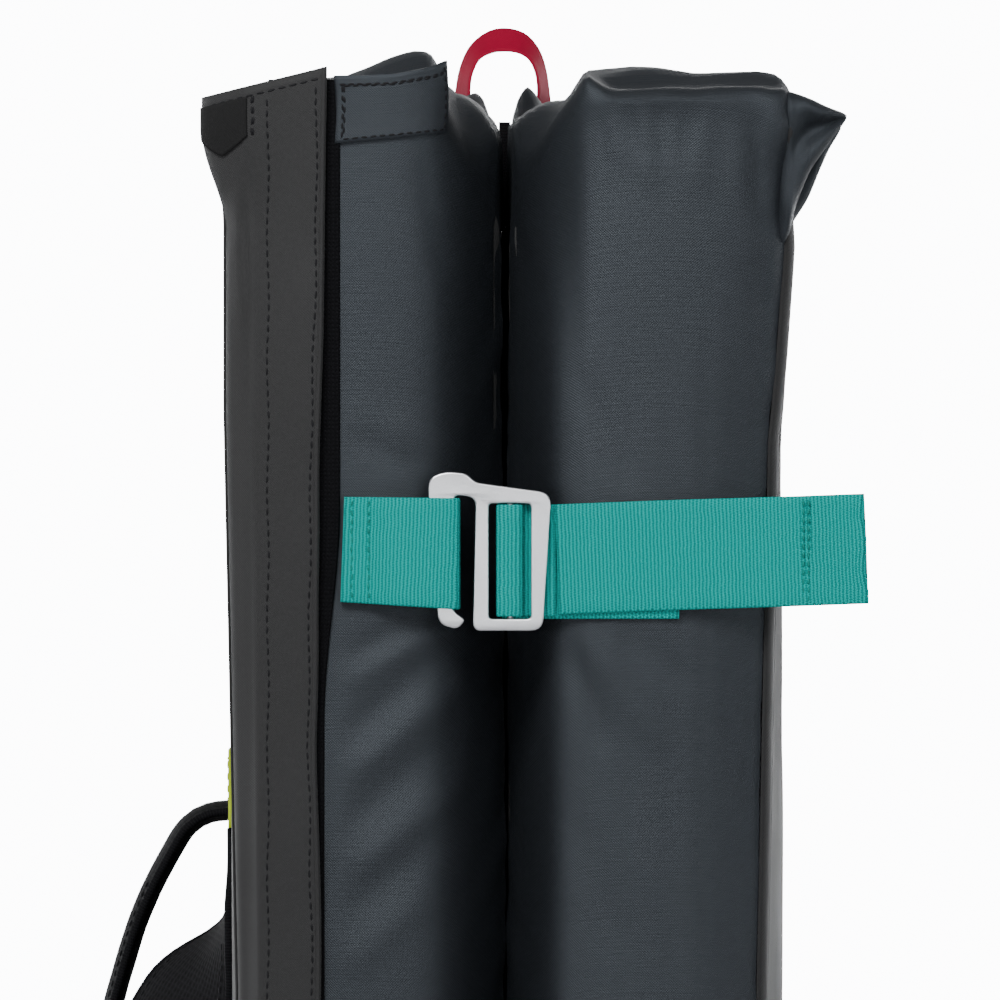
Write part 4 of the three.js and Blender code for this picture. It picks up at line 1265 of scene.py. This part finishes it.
class CRASHPAD_OT_corner_ear(Operator):
    """Gather the slack cover into a folded ear at the lid's top corner"""

    bl_idname = "crashpad.corner_ear"
    bl_label = "Corner ear"

    # Sections of the two folds from the seam to the tip: x, top, bottom, front, back, depth of the hollow.
    UPPER = [(92.0, 996.0, 936, -306, -252, 0.2), (97.0, 997.4, 938, -314.6, -254, 0.6),
             (100.6, 997.8, 946, -318.6, -258, 1.6), (103.4, 997.2, 958, -318.6, -262, 3.5),
             (108, 995.6, 969.3, -318.4, -270, 6.5), (113, 993.2, 976.6, -316.5, -279, 5.0),
             (117, 991.2, 982.4, -313.8, -289, 3.0), (119.8, 989.8, 986.2, -311.5, -297, 1.2),
             (120.8, 989.2, 987.8, -310, -302, 0.3)]
    LOWER = [(91.5, 985, 937, -297, -248, 0.5), (97.0, 985, 943, -300, -248, 2.0),
             (102.5, 985, 952, -302, -252, 3.0), (107.5, 985.5, 960, -303, -258, 3.0),
             (111.5, 986, 969, -303, -266, 2.0), (115.0, 986.5, 977.3, -302, -274, 1.0),
             (117.6, 987, 981.8, -301, -282, 0.4), (118.8, 986.8, 984.2, -299, -286, 0.2)]

    def lobe(self, name, sections, seed):
        rows = smooth_route(sections, 1.4)
        grid = []
        for x, top, low, front, back, dent in rows:
            h, d = top - low, back - front
            loop = [(back, top - 0.35 * h), (back - 0.25 * d, top - 0.06 * h), (front + 0.3 * d, top),
                    (front + 0.06 * d, top - 0.015 * h), (front, top - 0.13 * h),
                    (front + dent * 0.5, top - 0.3 * h), (front + dent, top - 0.45 * h),
                    (front + dent * 0.35, top - 0.62 * h), (front, top - 0.76 * h),
                    (front + 0.05 * d, low + 0.06 * h), (front + 0.25 * d, low),
                    (back - 0.2 * d, low + 0.12 * h), (back, low + 0.4 * h)]
            grid.append([(x, y, z) for y, z in loop])
        grid = np.array(grid)
        count = grid.shape[1]
        fine = []
        for row in grid:
            ring = smooth_route(np.vstack([row[-2:], row, row[:3]]), 2.6)
            reach = np.concatenate([[0], np.cumsum(np.linalg.norm(np.diff(ring, axis=0), axis=1))])
            first = np.argmin(np.linalg.norm(ring - row[0], axis=1)[: len(ring) // 2])
            last = len(ring) // 2 + np.argmin(np.linalg.norm(ring - row[0], axis=1)[len(ring) // 2:])
            marks = np.linspace(reach[first], reach[last], 5 * count, endpoint=False)
            fine.append(np.column_stack([np.interp(marks, reach, ring[:, k]) for k in range(3)]))
        grid = np.array(fine)
        grid += rumple(grid, 16, seed)[..., None] * [0.5, 1.1, 0.5]
        return sheet_piece(name, grid, finish_of("side_cloth"), "lid_half",
                           join_across=True, cap=True, flip=True)

    def execute(self, context):
        upper = self.lobe("corner_ear_upper", self.UPPER, 51)
        lower = self.lobe("corner_ear_lower", self.LOWER, 53)
        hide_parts("lid_corner_ear")
        return {"FINISHED"}


# ---- fold and hang loop ----


class CRASHPAD_OT_fold_seam(Operator):
    """Bind the fold: piping on the axis and a tape on each half"""

    bl_idname = "crashpad.fold_seam"
    bl_label = "Fold seam"

    def execute(self, context):
        path = [(0.3 * math.sin(z / 40), FOLD_Y, z) for z in np.linspace(26, 990.2, 160)]
        piping = tube_piece("fold_piping_cloth", path, 2.1, finish_of("binding"), "harness_half", around=12)
        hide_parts("fold_piping")
        for half, side in (("harness", -1), ("lid", 1)):
            across = smooth_route([(side * 2.3, FOLD_Y - 1.4, 0), (side * 6.5, FOLD_Y - 4.6, 0),
                                   (side * 11.0, FOLD_Y - 8.4, 0), (side * 15.2, FOLD_Y - 11.4, 0)], 1.6)
            z = np.linspace(36, 954, 190)
            grid = np.zeros((len(z), len(across), 3))
            grid[..., :2] = across[None, :, :2]
            grid[..., 2] = z[:, None]
            grid += rumple(grid * [0, 0, 1], 26, 61 + side)[..., None] * [0.1 * side, 0.35, 0]
            tape = cloth_piece(f"{half}_fold_binding", grid, 1.0, "binding", f"{half}_half",
                               flip=side > 0)
            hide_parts(f"{half}_fold_tape")
            out = np.array([side * 0.62, 0.78, 0.0])
            run = [((side * 12.4, FOLD_Y - 9.1, v), out) for v in np.linspace(38, 952, 60)]
            stitches = stitch_piece(f"{half}_fold_stitches", [run], finish_of("thread"), f"{half}_half",
                                    slot="black_webbing")
            sewn_on(stitches, tape)
        return {"FINISHED"}


class CRASHPAD_OT_hang_loop(Operator):
    """Bend the crimson tape into the hang loop over the fold"""

    bl_idname = "crashpad.hang_loop"
    bl_label = "Hang loop"

    def execute(self, context):
        # x, z and how far the tape leans out of the plane of its arch.
        arch = [(-15.6, 985.0, 0.6), (-16.2, 992.0, 0.56), (-15.8, 1000.0, 0.44), (-14.6, 1008.5, 0.4),
                (-11.4, 1015.6, 0.48), (-6.2, 1019.5, 0.66), (-1.0, 1020.8, 0.76), (5.4, 1019.8, 0.68),
                (10.6, 1015.6, 0.44), (13.4, 1009.0, 0.32), (14.4, 1001.0, 0.34), (14.2, 993.0, 0.5),
                (13.6, 985.0, 0.56)]
        centre = np.array([-0.8, 1001.0])
        stations = []
        for x, z, lean in arch:
            away = np.array([x, z]) - centre
            away /= np.linalg.norm(away)
            if z < 998:
                away = np.array([math.copysign(1, x), 0.0])
            stations.append((x, FOLD_Y - 8, z, -away[0] * math.sin(lean), -math.cos(lean),
                             -away[1] * math.sin(lean)))
        loop = strap_piece("crimson_hang_loop", stations, 12.6, 1.1, finish_of("crimson_tape"), "top_loop",
                           step=1.6)
        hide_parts("hang_loop")
        return {"FINISHED"}


# ---- closure straps and hooks ----

# The hook's outline about its middle bar, as (x, z) and the radius of each corner.
HOOK_OUTLINE = [(-13.2, -24.7, 3), (11.6, -24.7, 4.5), (14.6, 24.2, 4.5), (-12.4, 27.9, 2.5),
                (-15.4, 31.1, 2.5), (-23.0, 31.8, 4), (-28.9, 29.4, 5), (-28.9, 22.0, 5),
                (-25.4, -22.4, 4.5), (-18.6, -24.2, 2.5), (-15.8, -20.8, 1.6), (-20.4, -17.6, 2.6),
                (-19.6, 23.4, 1.8), (-12.2, 22.6, 3.5)]
HOOK_WINDOW = (-7.6, -20.4, 7.4, 20.4)

TAIL = [(18.4, -326.7, 832.05, 0, 0, 1), (40, -326.45, 832.9, 0, 0, 1), (62, -326.6, 833.7, 0, -0.01, 1),
        (82, -327.0, 834.3, 0, 0.02, 1), (100, -327.1, 834.9, 0, 0.04, 1),
        (114, -326.5, 835.4, -0.02, 0.03, 1), (127.6, -325.7, 835.9, -0.045, 0.02, 1)]


class CRASHPAD_OT_closure_straps(Operator):
    """Sew the catch loops, the strap bases, the turns round the hooks and the free tails"""

    bl_idname = "crashpad.closure_straps"
    bl_label = "Closure straps"

    def execute(self, context):
        for level, height in HOOK_HEIGHTS.items():
            shift = height - HOOK_HEIGHTS["upper"]
            self.catch_loop(level, shift)
            self.base_and_turn(level, height)
            self.tail(level, shift)
        return {"FINISHED"}

    def catch_loop(self, level, shift):
        route = [(-57.6, -325.4), (-50, -325.5), (-44, -326.2), (-36, -326.5), (-22, -326.5),
                 (-18.2, -326.9), (-16.9, -328.2), (-16.5, -329.6), (-17.2, -331.2), (-20, -331.9),
                 (-28, -331.95), (-36, -331.5), (-42, -330.0), (-47, -328.0), (-52, -327.15),
                 (-57.6, -326.95)]
        stations = []
        for x, y in route:
            share = (x + 57.6) / 41.0
            stations.append((x, y, 835.6 - 1.5 * share + shift, 0, 0, 1, 0.955 + 0.055 * share))
        web = strap_piece(f"{level}_catch_loop_web", stations, 39.0, 1.3, finish_of("teal_webbing"),
                          "harness_half", step=1.4)
        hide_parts(f"{level}_catch_loop")
        rows = [[((x + 0.25 * math.sin(z * 0.9), y, z + shift), FRONTWARD)
                 for z in np.linspace(817.8, 853.4, 40)] for x, y in ((-54.3, -327.6), (-48.3, -328.5))]
        sew(f"{level}_catch_stitches", rows, web, "teal_thread", "closure_webbing", length=2.3, gap=0.9,
            thread=0.85)

    def base_and_turn(self, level, height):
        width, thick = sizes().web_width * 1000, sizes().web_thick * 1000
        low = height - 1.0
        base = [(-1.0, -325.0, low, 0, 0, 1), (15, -324.95, low, 0, 0, 1), (35, -324.95, low, 0, 0, 1),
                (50, -324.9, low, 0, 0, 1), (61.6, -324.7, low, 0, 0, 1)]
        strap = strap_piece(f"{level}_base_web", base, width, thick * 0.92, finish_of("teal_webbing"),
                            "lid_half", step=3)
        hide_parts(f"{level}_strap_base")
        box = [(24, -16), (58, -16), (58, 16), (24, 16), (24, -16), (58, 16), (58, -16), (24, 16)]
        runs = corner_runs(box, 0, -325.6, low, np.linspace(0.02, 0.98, 14))
        sew(f"{level}_base_stitches", runs, strap, "teal_thread", "closure_webbing", thread=0.6)
        route = [(17.9, -326.5), (11, -326.2), (6, -325.9), (1.0, -326.2), (-1.6, -327.1), (-2.6, -328.5),
                 (-2.2, -330.1), (-0.7, -330.9), (1.7, -331.05), (4.0, -330.9), (5.4, -330.1), (5.6, -328.7),
                 (4.4, -327.6), (2.6, -327.4)]
        stations = [(x, y, height + 0.2, 0, 0, 1) for x, y in route]
        turn = strap_piece(f"{level}_turn_web", stations, width + 0.6, thick * 0.85,
                           finish_of("teal_webbing"), f"{level}_hook_assembly", step=0.8)
        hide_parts(f"{level}_strap_turn")

    def tail(self, level, shift):
        stations = [(x, y, z + shift, a, b, c) for x, y, z, a, b, c in TAIL]
        width = sizes().web_width * 1000

        def worn_end(grid):
            x = grid[..., 0]
            along = grid[..., 2] - (834 + shift)
            wave = 0.55 * np.sin(x / 9.5 + along / 17) * falloff(x, 75, 118)
            grid[..., 1] += wave
            grid[..., 0] += 0.5 * np.sin(along / 3.1) * falloff(x, 122, 127)
            return grid

        tail = strap_piece(f"{level}_tail_web", stations, width, 1.35, finish_of("teal_webbing"),
                           f"{level}_tail", step=1.8, edge=worn_end)
        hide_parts(f"{level}_strap_tail")
        hem = [(x, y + 1.35, z + shift, a, b, c) for x, y, z, a, b, c in TAIL[4:]]
        hem[0] = (103.5, -325.8, 835.1 + shift, 0, 0.04, 1)
        under = strap_piece(f"{level}_tail_hem", hem, width - 0.5, 1.25, finish_of("teal_webbing"),
                            f"{level}_tail", step=1.8, edge=worn_end)
        sewn_on(under, tail)
        rows = [[((x, -327.85 + 0.55 * math.sin(x / 9.5 + (z - 834) / 17) * 0.9, z + shift), FRONTWARD)
                 for z in np.linspace(816.6, 853.6, 44)] for x in (105.6, 107.4)]
        sew(f"{level}_tail_stitches", rows, tail, "teal_thread", "closure_webbing", length=2.3, gap=0.7,
            thread=0.95)


class CRASHPAD_OT_hooks(Operator):
    """Stamp the flat hooks with their windows, bars and open tongues"""

    bl_idname = "crashpad.hooks"
    bl_label = "Hooks"

    def execute(self, context):
        thick, edge = sizes().hook_thick * 1000, sizes().hook_edge * 1000
        ring = filleted(HOOK_OUTLINE)
        axes = ((1, 0, 0), (0, 0, 1), (0, -1, 0))
        for level, height in HOOK_HEIGHTS.items():
            place = (1.8, -329.2, height)
            hook = plate_piece(f"{level}_hook_plate", ring, [box_ring(*HOOK_WINDOW, 1.6)], thick, edge,
                               place, axes, finish_of("tumbled_alloy"), f"{level}_hook_assembly")
            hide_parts(f"{level}_hook")
            bar = [(1.8, -328.75, z) for z in np.linspace(height - 21.5, height + 21.5, 12)]
            sewn_on(tube_piece(f"{level}_hook_bar", bar, 1.15, finish_of("tumbled_alloy"), None, around=12), hook)
        return {"FINISHED"}


# ---- shoulder straps ----

FAR_PAD = [(-97.6, 62, 737.6, 0, 1, 0, 1, 1), (-108, 62, 736.4, 0, 1, 0), (-115.4, 62, 732, 0, 1, 0),
           (-121.2, 62, 723.5, 0, 1, 0), (-131.2, 62, 704, 0, 1, 0), (-140.0, 63, 678, 0, 1, 0),
           (-150, 64, 636, 0, 1, 0), (-155.0, 67, 588, 0, 1, 0), (-155.0, 71, 535, 0, 1, 0),
           (-149.6, 76, 485, 0, 1, 0), (-144.6, 79.4, 456, 0, 1, 0, 0.76, 0.8),
           (-143.2, 80, 447, 0, 1, 0, 0.7, 0.6)]
NEAR_PAD = [(-98.9, -62, 733, 0, 1, 0, 1, 0.02), (-98.9, -62, 718, 0, 1, 0, 1, 0.02),
            (-99.9, -62, 702.5, 0, 1, 0, 0.96, 0.12), (-103.4, -62, 692.5, -0.16, 1, 0, 0.97, 0.4),
            (-115.0, -62, 671, -0.72, 1, 0), (-128, -63, 645, -0.66, 1, 0), (-138.5, -65, 605, -0.3, 1, 0),
            (-143.6, -69, 555, 0, 1, 0), (-144.4, -74, 500, 0, 1, 0), (-143.2, -79, 458, 0, 1, 0, 0.76, 0.8),
            (-142.4, -80, 447, 0, 1, 0, 0.7, 0.6)]


class CRASHPAD_OT_shoulder_straps(Operator):
    """Sew the padded shoulder straps, their root patches, ladder locks, adjuster webbing and anchors"""

    bl_idname = "crashpad.shoulder_straps"
    bl_label = "Shoulder straps"

    def execute(self, context):
        pads = {"far": (FAR_PAD, 1), "near": (NEAR_PAD, -1)}
        for side, (stations, sy) in pads.items():
            body = f"{side}_shoulder_strap"
            belly = (sizes().pad_thick * 1000 - 2.0) / 2
            pad = strap_piece(f"{side}_pad_mesh", stations, 58.5, 2.0, finish_of("strap_mesh"), body,
                              step=3.5, belly=belly, edge=self.settle)
            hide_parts(f"{side}_shoulder_pad")
            for number, across in enumerate((-29.0, 29.0)):
                path = [p for p, _ in strap_line(stations, across, 0.01, 3.5)]
                piping = tube_piece(f"{side}_pad_edge_{number}", path, 1.55, finish_of("binding"), None,
                                    around=8)
                sewn_on(piping, pad)
            rows = [strap_line(stations, across, lift, 3.5, 0.14, 0.97)
                    for across in (-24.5, 24.5) for lift in (-(1.05 + belly * 0.42), 1.05 + belly * 0.42)]
            sew(f"{side}_pad_stitches", rows, pad)
            self.lock_and_web(side, sy)
            self.anchor(side, sy)
        self.root_patch("near", -96, -28, 733.5)
        self.root_patch("far", 28, 96, 747.5)
        return {"FINISHED"}

    def settle(self, grid):
        """Slightly uneven foam under the mesh."""
        grid[..., 0] += rumple(grid, 26, 71) * 0.35
        return grid

    def lock_and_web(self, side, sy):
        outline = box_ring(-17, -12, 17, 12, 3.2)
        slots = [box_ring(-13, 2.4, 13, 6.0, 1.0), box_ring(-13, -6.0, 13, -2.4, 1.0)]
        tilt = -0.14
        out = (-math.cos(tilt), 0, math.sin(tilt))
        up = (math.sin(tilt), 0, math.cos(tilt))
        lock = plate_piece(f"{side}_lock_frame", outline, slots, 4.0, 0.9, (-141.6, sy * 80.5, 436),
                           ((0, -1, 0), up, out), finish_of("moulded_acetal"), f"{side}_shoulder_strap")
        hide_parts(f"{side}_ladder_lock")
        for number, drop in enumerate((0.0, -9.2)):
            middle = np.array([-141.6, sy * 80.5, 436]) + np.array(up) * drop + np.array(out) * 1.2
            path = [middle + np.array([0, y, 0]) for y in np.linspace(-14.5, 14.5, 10)]
            sewn_on(tube_piece(f"{side}_lock_bar_{number}", path, 1.35, finish_of("moulded_acetal"), None,
                               around=10), lock)
        feed = [(-142.8, sy * 80, 452, 0, 1, 0), (-140.4, sy * 80.2, 444.5, 0, 1, 0),
                (-139.2, sy * 80.5, 438, 0, 1, 0)]
        short = strap_piece(f"{side}_lock_web", feed, 25.5, 1.5, finish_of("black_webbing"),
                            f"{side}_shoulder_strap", step=1.6)
        sewn_on(short, lock)
        route = [(-136.6, sy * 81, 437, 0, 1, 0), (-132, sy * 84, 414, 0, 1, 0),
                 (-118, sy * 92, 378, 0, 1, 0), (-103.8, sy * 99, 349, 0, 1, 0),
                 (-100.3, sy * 101, 336.5, 0, 1, 0)]
        web = strap_piece(f"{side}_adjuster_webbing", route, 25, 1.6, finish_of("black_webbing"),
                          f"{side}_adjuster_web", step=3)
        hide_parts(f"{side}_shoulder_web")

    def anchor(self, side, sy):
        rows = []
        for z in np.linspace(322.6, 333.6, 9):
            share = (z - 322.6) / 11
            middle, half = sy * 101, 31 - 12 * share
            rows.append([(-98.9 - 0.3 * math.sin(math.pi * share), middle + half * t, z)
                         for t in np.linspace(1, -1, 24)])
        grid = np.array(rows)
        tab = cloth_piece(f"{side}_anchor_cloth", grid, 1.5, "flap_cloth", "harness_half")
        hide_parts(f"{side}_anchor_tab")
        runs = [surface_run(grid, [(1.2, j) for j in np.linspace(1, 22, 30)]),
                surface_run(grid, [(7.0, j) for j in np.linspace(1, 22, 26)])]
        sew(f"{side}_anchor_stitches", runs, tab)

    def root_patch(self, side, y0, y1, z0):
        z, y = np.linspace(z0, 761.5, 10), np.linspace(y1, y0, 36)
        grid = np.zeros((len(z), len(y), 3))
        grid[..., 1], grid[..., 2] = y[None], z[:, None]
        grid[..., 0] = -99.9 + rumple(grid * [0, 1, 1], 18, 75) * 0.18
        patch = cloth_piece(f"{side}_root_tape", grid, 2.0, "lime_tape", "harness_half")
        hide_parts(f"{side}_root_patch")
        runs = [surface_run(grid, [(i, j) for j in np.linspace(1, 34, 50)]) for i in (0.9, 8.0)]
        runs += [surface_run(grid, [(i, j) for i in np.linspace(1, 8, 12)]) for j in (1.0, 34.0)]
        sew(f"{side}_root_stitches", runs, patch)


# ---- hip belt ----


class CRASHPAD_OT_hip_belt(Operator):
    """Lay the hip belt and close its side-release buckle"""

    bl_idname = "crashpad.hip_belt"
    bl_label = "Hip belt"

    def execute(self, context):
        for side, sy in (("near", -1), ("far", 1)):
            points = [(-98.8, 176.4), (-98.9, 150), (-104, 132), (-120, 104), (-134, 72), (-142.4, 42),
                      (-143, 30.5)]
            route = [(x, sy * y, BELT_Z, 0, 0, 1) for x, y in points]
            web = strap_piece(f"{side}_belt_webbing", route, 38, 2.0, finish_of("black_webbing"),
                              f"{side}_hip_wing", step=3.5)
            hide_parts(f"{side}_hip_web")
            out = np.array([-1.0, 0, 0])
            runs = [[((-99.95, sy * y, z), out) for z in np.linspace(BELT_Z - 16, BELT_Z + 16, 20)]
                    for y in (172.5, 162)]
            sew(f"{side}_belt_stitches", runs, web)
        self.socket()
        self.plug()
        return {"FINISHED"}

    AXES = ((0, -1, 0), (0, 0, 1), (-1, 0, 0))

    def moulding(self, name, outline, holes, depth, bevel, x=0.0, body=None):
        return plate_piece(name, outline, holes, depth, bevel, (BUCKLE_X + x, 0, BELT_Z), self.AXES,
                           finish_of("moulded_acetal"), body)

    def socket(self):
        outline = filleted([(-3, -21, 3), (3, -24, 4), (21, -24, 6), (30, -21.5, 4), (30, 21.5, 4),
                            (21, 24, 6), (3, 24, 4), (-3, 21, 3)])
        front = self.moulding("socket_front", outline, [box_ring(4, -11, 17, 11, 4)], 2.5, 0.9, -4.2,
                              "near_hip_wing")
        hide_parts("hip_buckle_socket")
        parts = [self.moulding("socket_back", outline, [], 2.3, 0.8, 4.3),
                 self.moulding("socket_bridge", box_ring(22.5, -21.5, 29.6, 21.5, 1.5), [], 8.6, 0.6)]
        for number, z in enumerate((-21.6, 21.6)):
            rail = box_ring(-2, z - 1.6, 6, z + 1.6, 1.0)
            parts.append(self.moulding(f"socket_rail_{number}", rail, [], 8.6, 0.4))
        for part in parts:
            sewn_on(part, front)

    def plug(self):
        fork = [(-31, -22, 3), (-31, 22, 3), (-7, 22, 3), (-3.6, 18.5, 2), (13, 18.5, 5), (19, 13, 2.5),
                (13, 12.6, 1.5), (-3.6, 12.6, 2), (-3.6, 2.5, 1.2), (14, 1.6, 1.2), (14, -1.6, 1.2),
                (-3.6, -2.5, 1.2), (-3.6, -12.6, 2), (13, -12.6, 1.5), (19, -13, 2.5), (13, -18.5, 5),
                (-3.6, -18.5, 2), (-7, -22, 3)]
        slots = [box_ring(-27.5, -19.5, -24.2, 19.5, 1.2), box_ring(-20, -19.5, -16.6, 19.5, 1.2)]
        plug = self.moulding("plug_body", filleted(fork), slots, 5.2, 1.0, body="far_hip_wing")
        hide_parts("hip_buckle_plug")


# ---- carry handle ----

HANDLE_X = 48.0


def handle_route(places):
    """Webbing stations from (y, z) places, with the webbing's width along x."""
    return [(HANDLE_X, y, z, 1, 0, 0) for y, z in places]


LOWER_TAB = handle_route([(-325.5, 425), (-325.6, 440), (-325.7, 450), (-327.6, 458.6)])
UPPER_TAB = handle_route([(-327.6, 551.4), (-325.7, 560), (-325.6, 572), (-325.5, 585)])
GRAB = handle_route([(-329.2, 459.8), (-334.5, 466), (-343, 476), (-349.4, 490), (-350.8, 505),
                     (-349.4, 520), (-343, 534), (-334.5, 544), (-329.2, 550.2)])


class CRASHPAD_OT_carry_handle(Operator):
    """Sew the carry handle, its ends and its grip sleeve to the lid half"""

    bl_idname = "crashpad.carry_handle"
    bl_label = "Carry handle"

    def execute(self, context):
        web = finish_of("black_webbing")
        for name, stations, replaced in (("lower_tab_web", LOWER_TAB, "lower_handle_tab"),
                                         ("upper_tab_web", UPPER_TAB, "upper_handle_tab")):
            tab = strap_piece(name, stations, 25, 1.9, web, "lid_half", step=2)
            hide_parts(replaced)
            middle = (stations[0][2] + stations[-1][2]) / 2
            z0, z1 = (middle - 13, middle + 7) if middle < 505 else (middle - 7, middle + 13)
            corners = [(-9.5, z0), (9.5, z0), (9.5, z1), (-9.5, z1), (-9.5, z0), (9.5, z1), (9.5, z0),
                       (-9.5, z1)]
            runs = corner_runs(corners, HANDLE_X, -326.75, 0, np.linspace(0.03, 0.97, 12))
            sew(name + "_stitches", runs, tab)
        grab = strap_piece("handle_web", GRAB, 25, 2.0, web, "handle", step=2)
        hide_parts("carry_handle")
        shares = zip((491, 496, 505, 514, 519), (0.94, 1.0, 1.0, 1.0, 0.94))
        sleeve = [(HANDLE_X, -350.4, z, 1, 0, 0, share, share) for z, share in shares]
        grip = strap_piece("grip_sleeve", sleeve, 30.5, 6.4, finish_of("strap_mesh"), "handle", step=1.5,
                           belly=1.6)
        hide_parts("handle_grip")
        return {"FINISHED"}


# ---- panel and registration ----

STEPS = (CRASHPAD_OT_camera, CRASHPAD_OT_stage, CRASHPAD_OT_foam, CRASHPAD_OT_covers, CRASHPAD_OT_corner_ear,
         CRASHPAD_OT_flap, CRASHPAD_OT_top_tab, CRASHPAD_OT_fold_seam, CRASHPAD_OT_hang_loop,
         CRASHPAD_OT_hooks, CRASHPAD_OT_closure_straps, CRASHPAD_OT_shoulder_straps, CRASHPAD_OT_hip_belt,
         CRASHPAD_OT_carry_handle)


class CRASHPAD_PT_panel(Panel):
    """Crash pad sizes, colours and build steps"""

    bl_label = "Crash Pad"
    bl_idname = "CRASHPAD_PT_panel"
    bl_space_type = "VIEW_3D"
    bl_region_type = "UI"
    bl_category = "Crash Pad"

    def draw(self, context):
        layout = self.layout
        for group in (context.scene.crash_pad_sizes, context.scene.crash_pad_colours):
            box = layout.box()
            for name in group.__annotations__:
                box.prop(group, name)
        for step in STEPS:
            layout.operator(step.bl_idname)


CLASSES = (PadSizes, PadColours, *STEPS, CRASHPAD_PT_panel)


def register():
    for entry in CLASSES:
        bpy.utils.register_class(entry)
    bpy.types.Scene.crash_pad_sizes = PointerProperty(type=PadSizes)
    bpy.types.Scene.crash_pad_colours = PointerProperty(type=PadColours)


def unregister():
    del bpy.types.Scene.crash_pad_colours
    del bpy.types.Scene.crash_pad_sizes
    for entry in reversed(CLASSES):
        bpy.utils.unregister_class(entry)


def main():
    register()
    for step in STEPS:
        group, name = step.bl_idname.split(".")
        if getattr(getattr(bpy.ops, group), name)() != {"FINISHED"}:
            raise RuntimeError(f"{step.bl_label} did not finish")


if __name__ == "__main__":
    main()
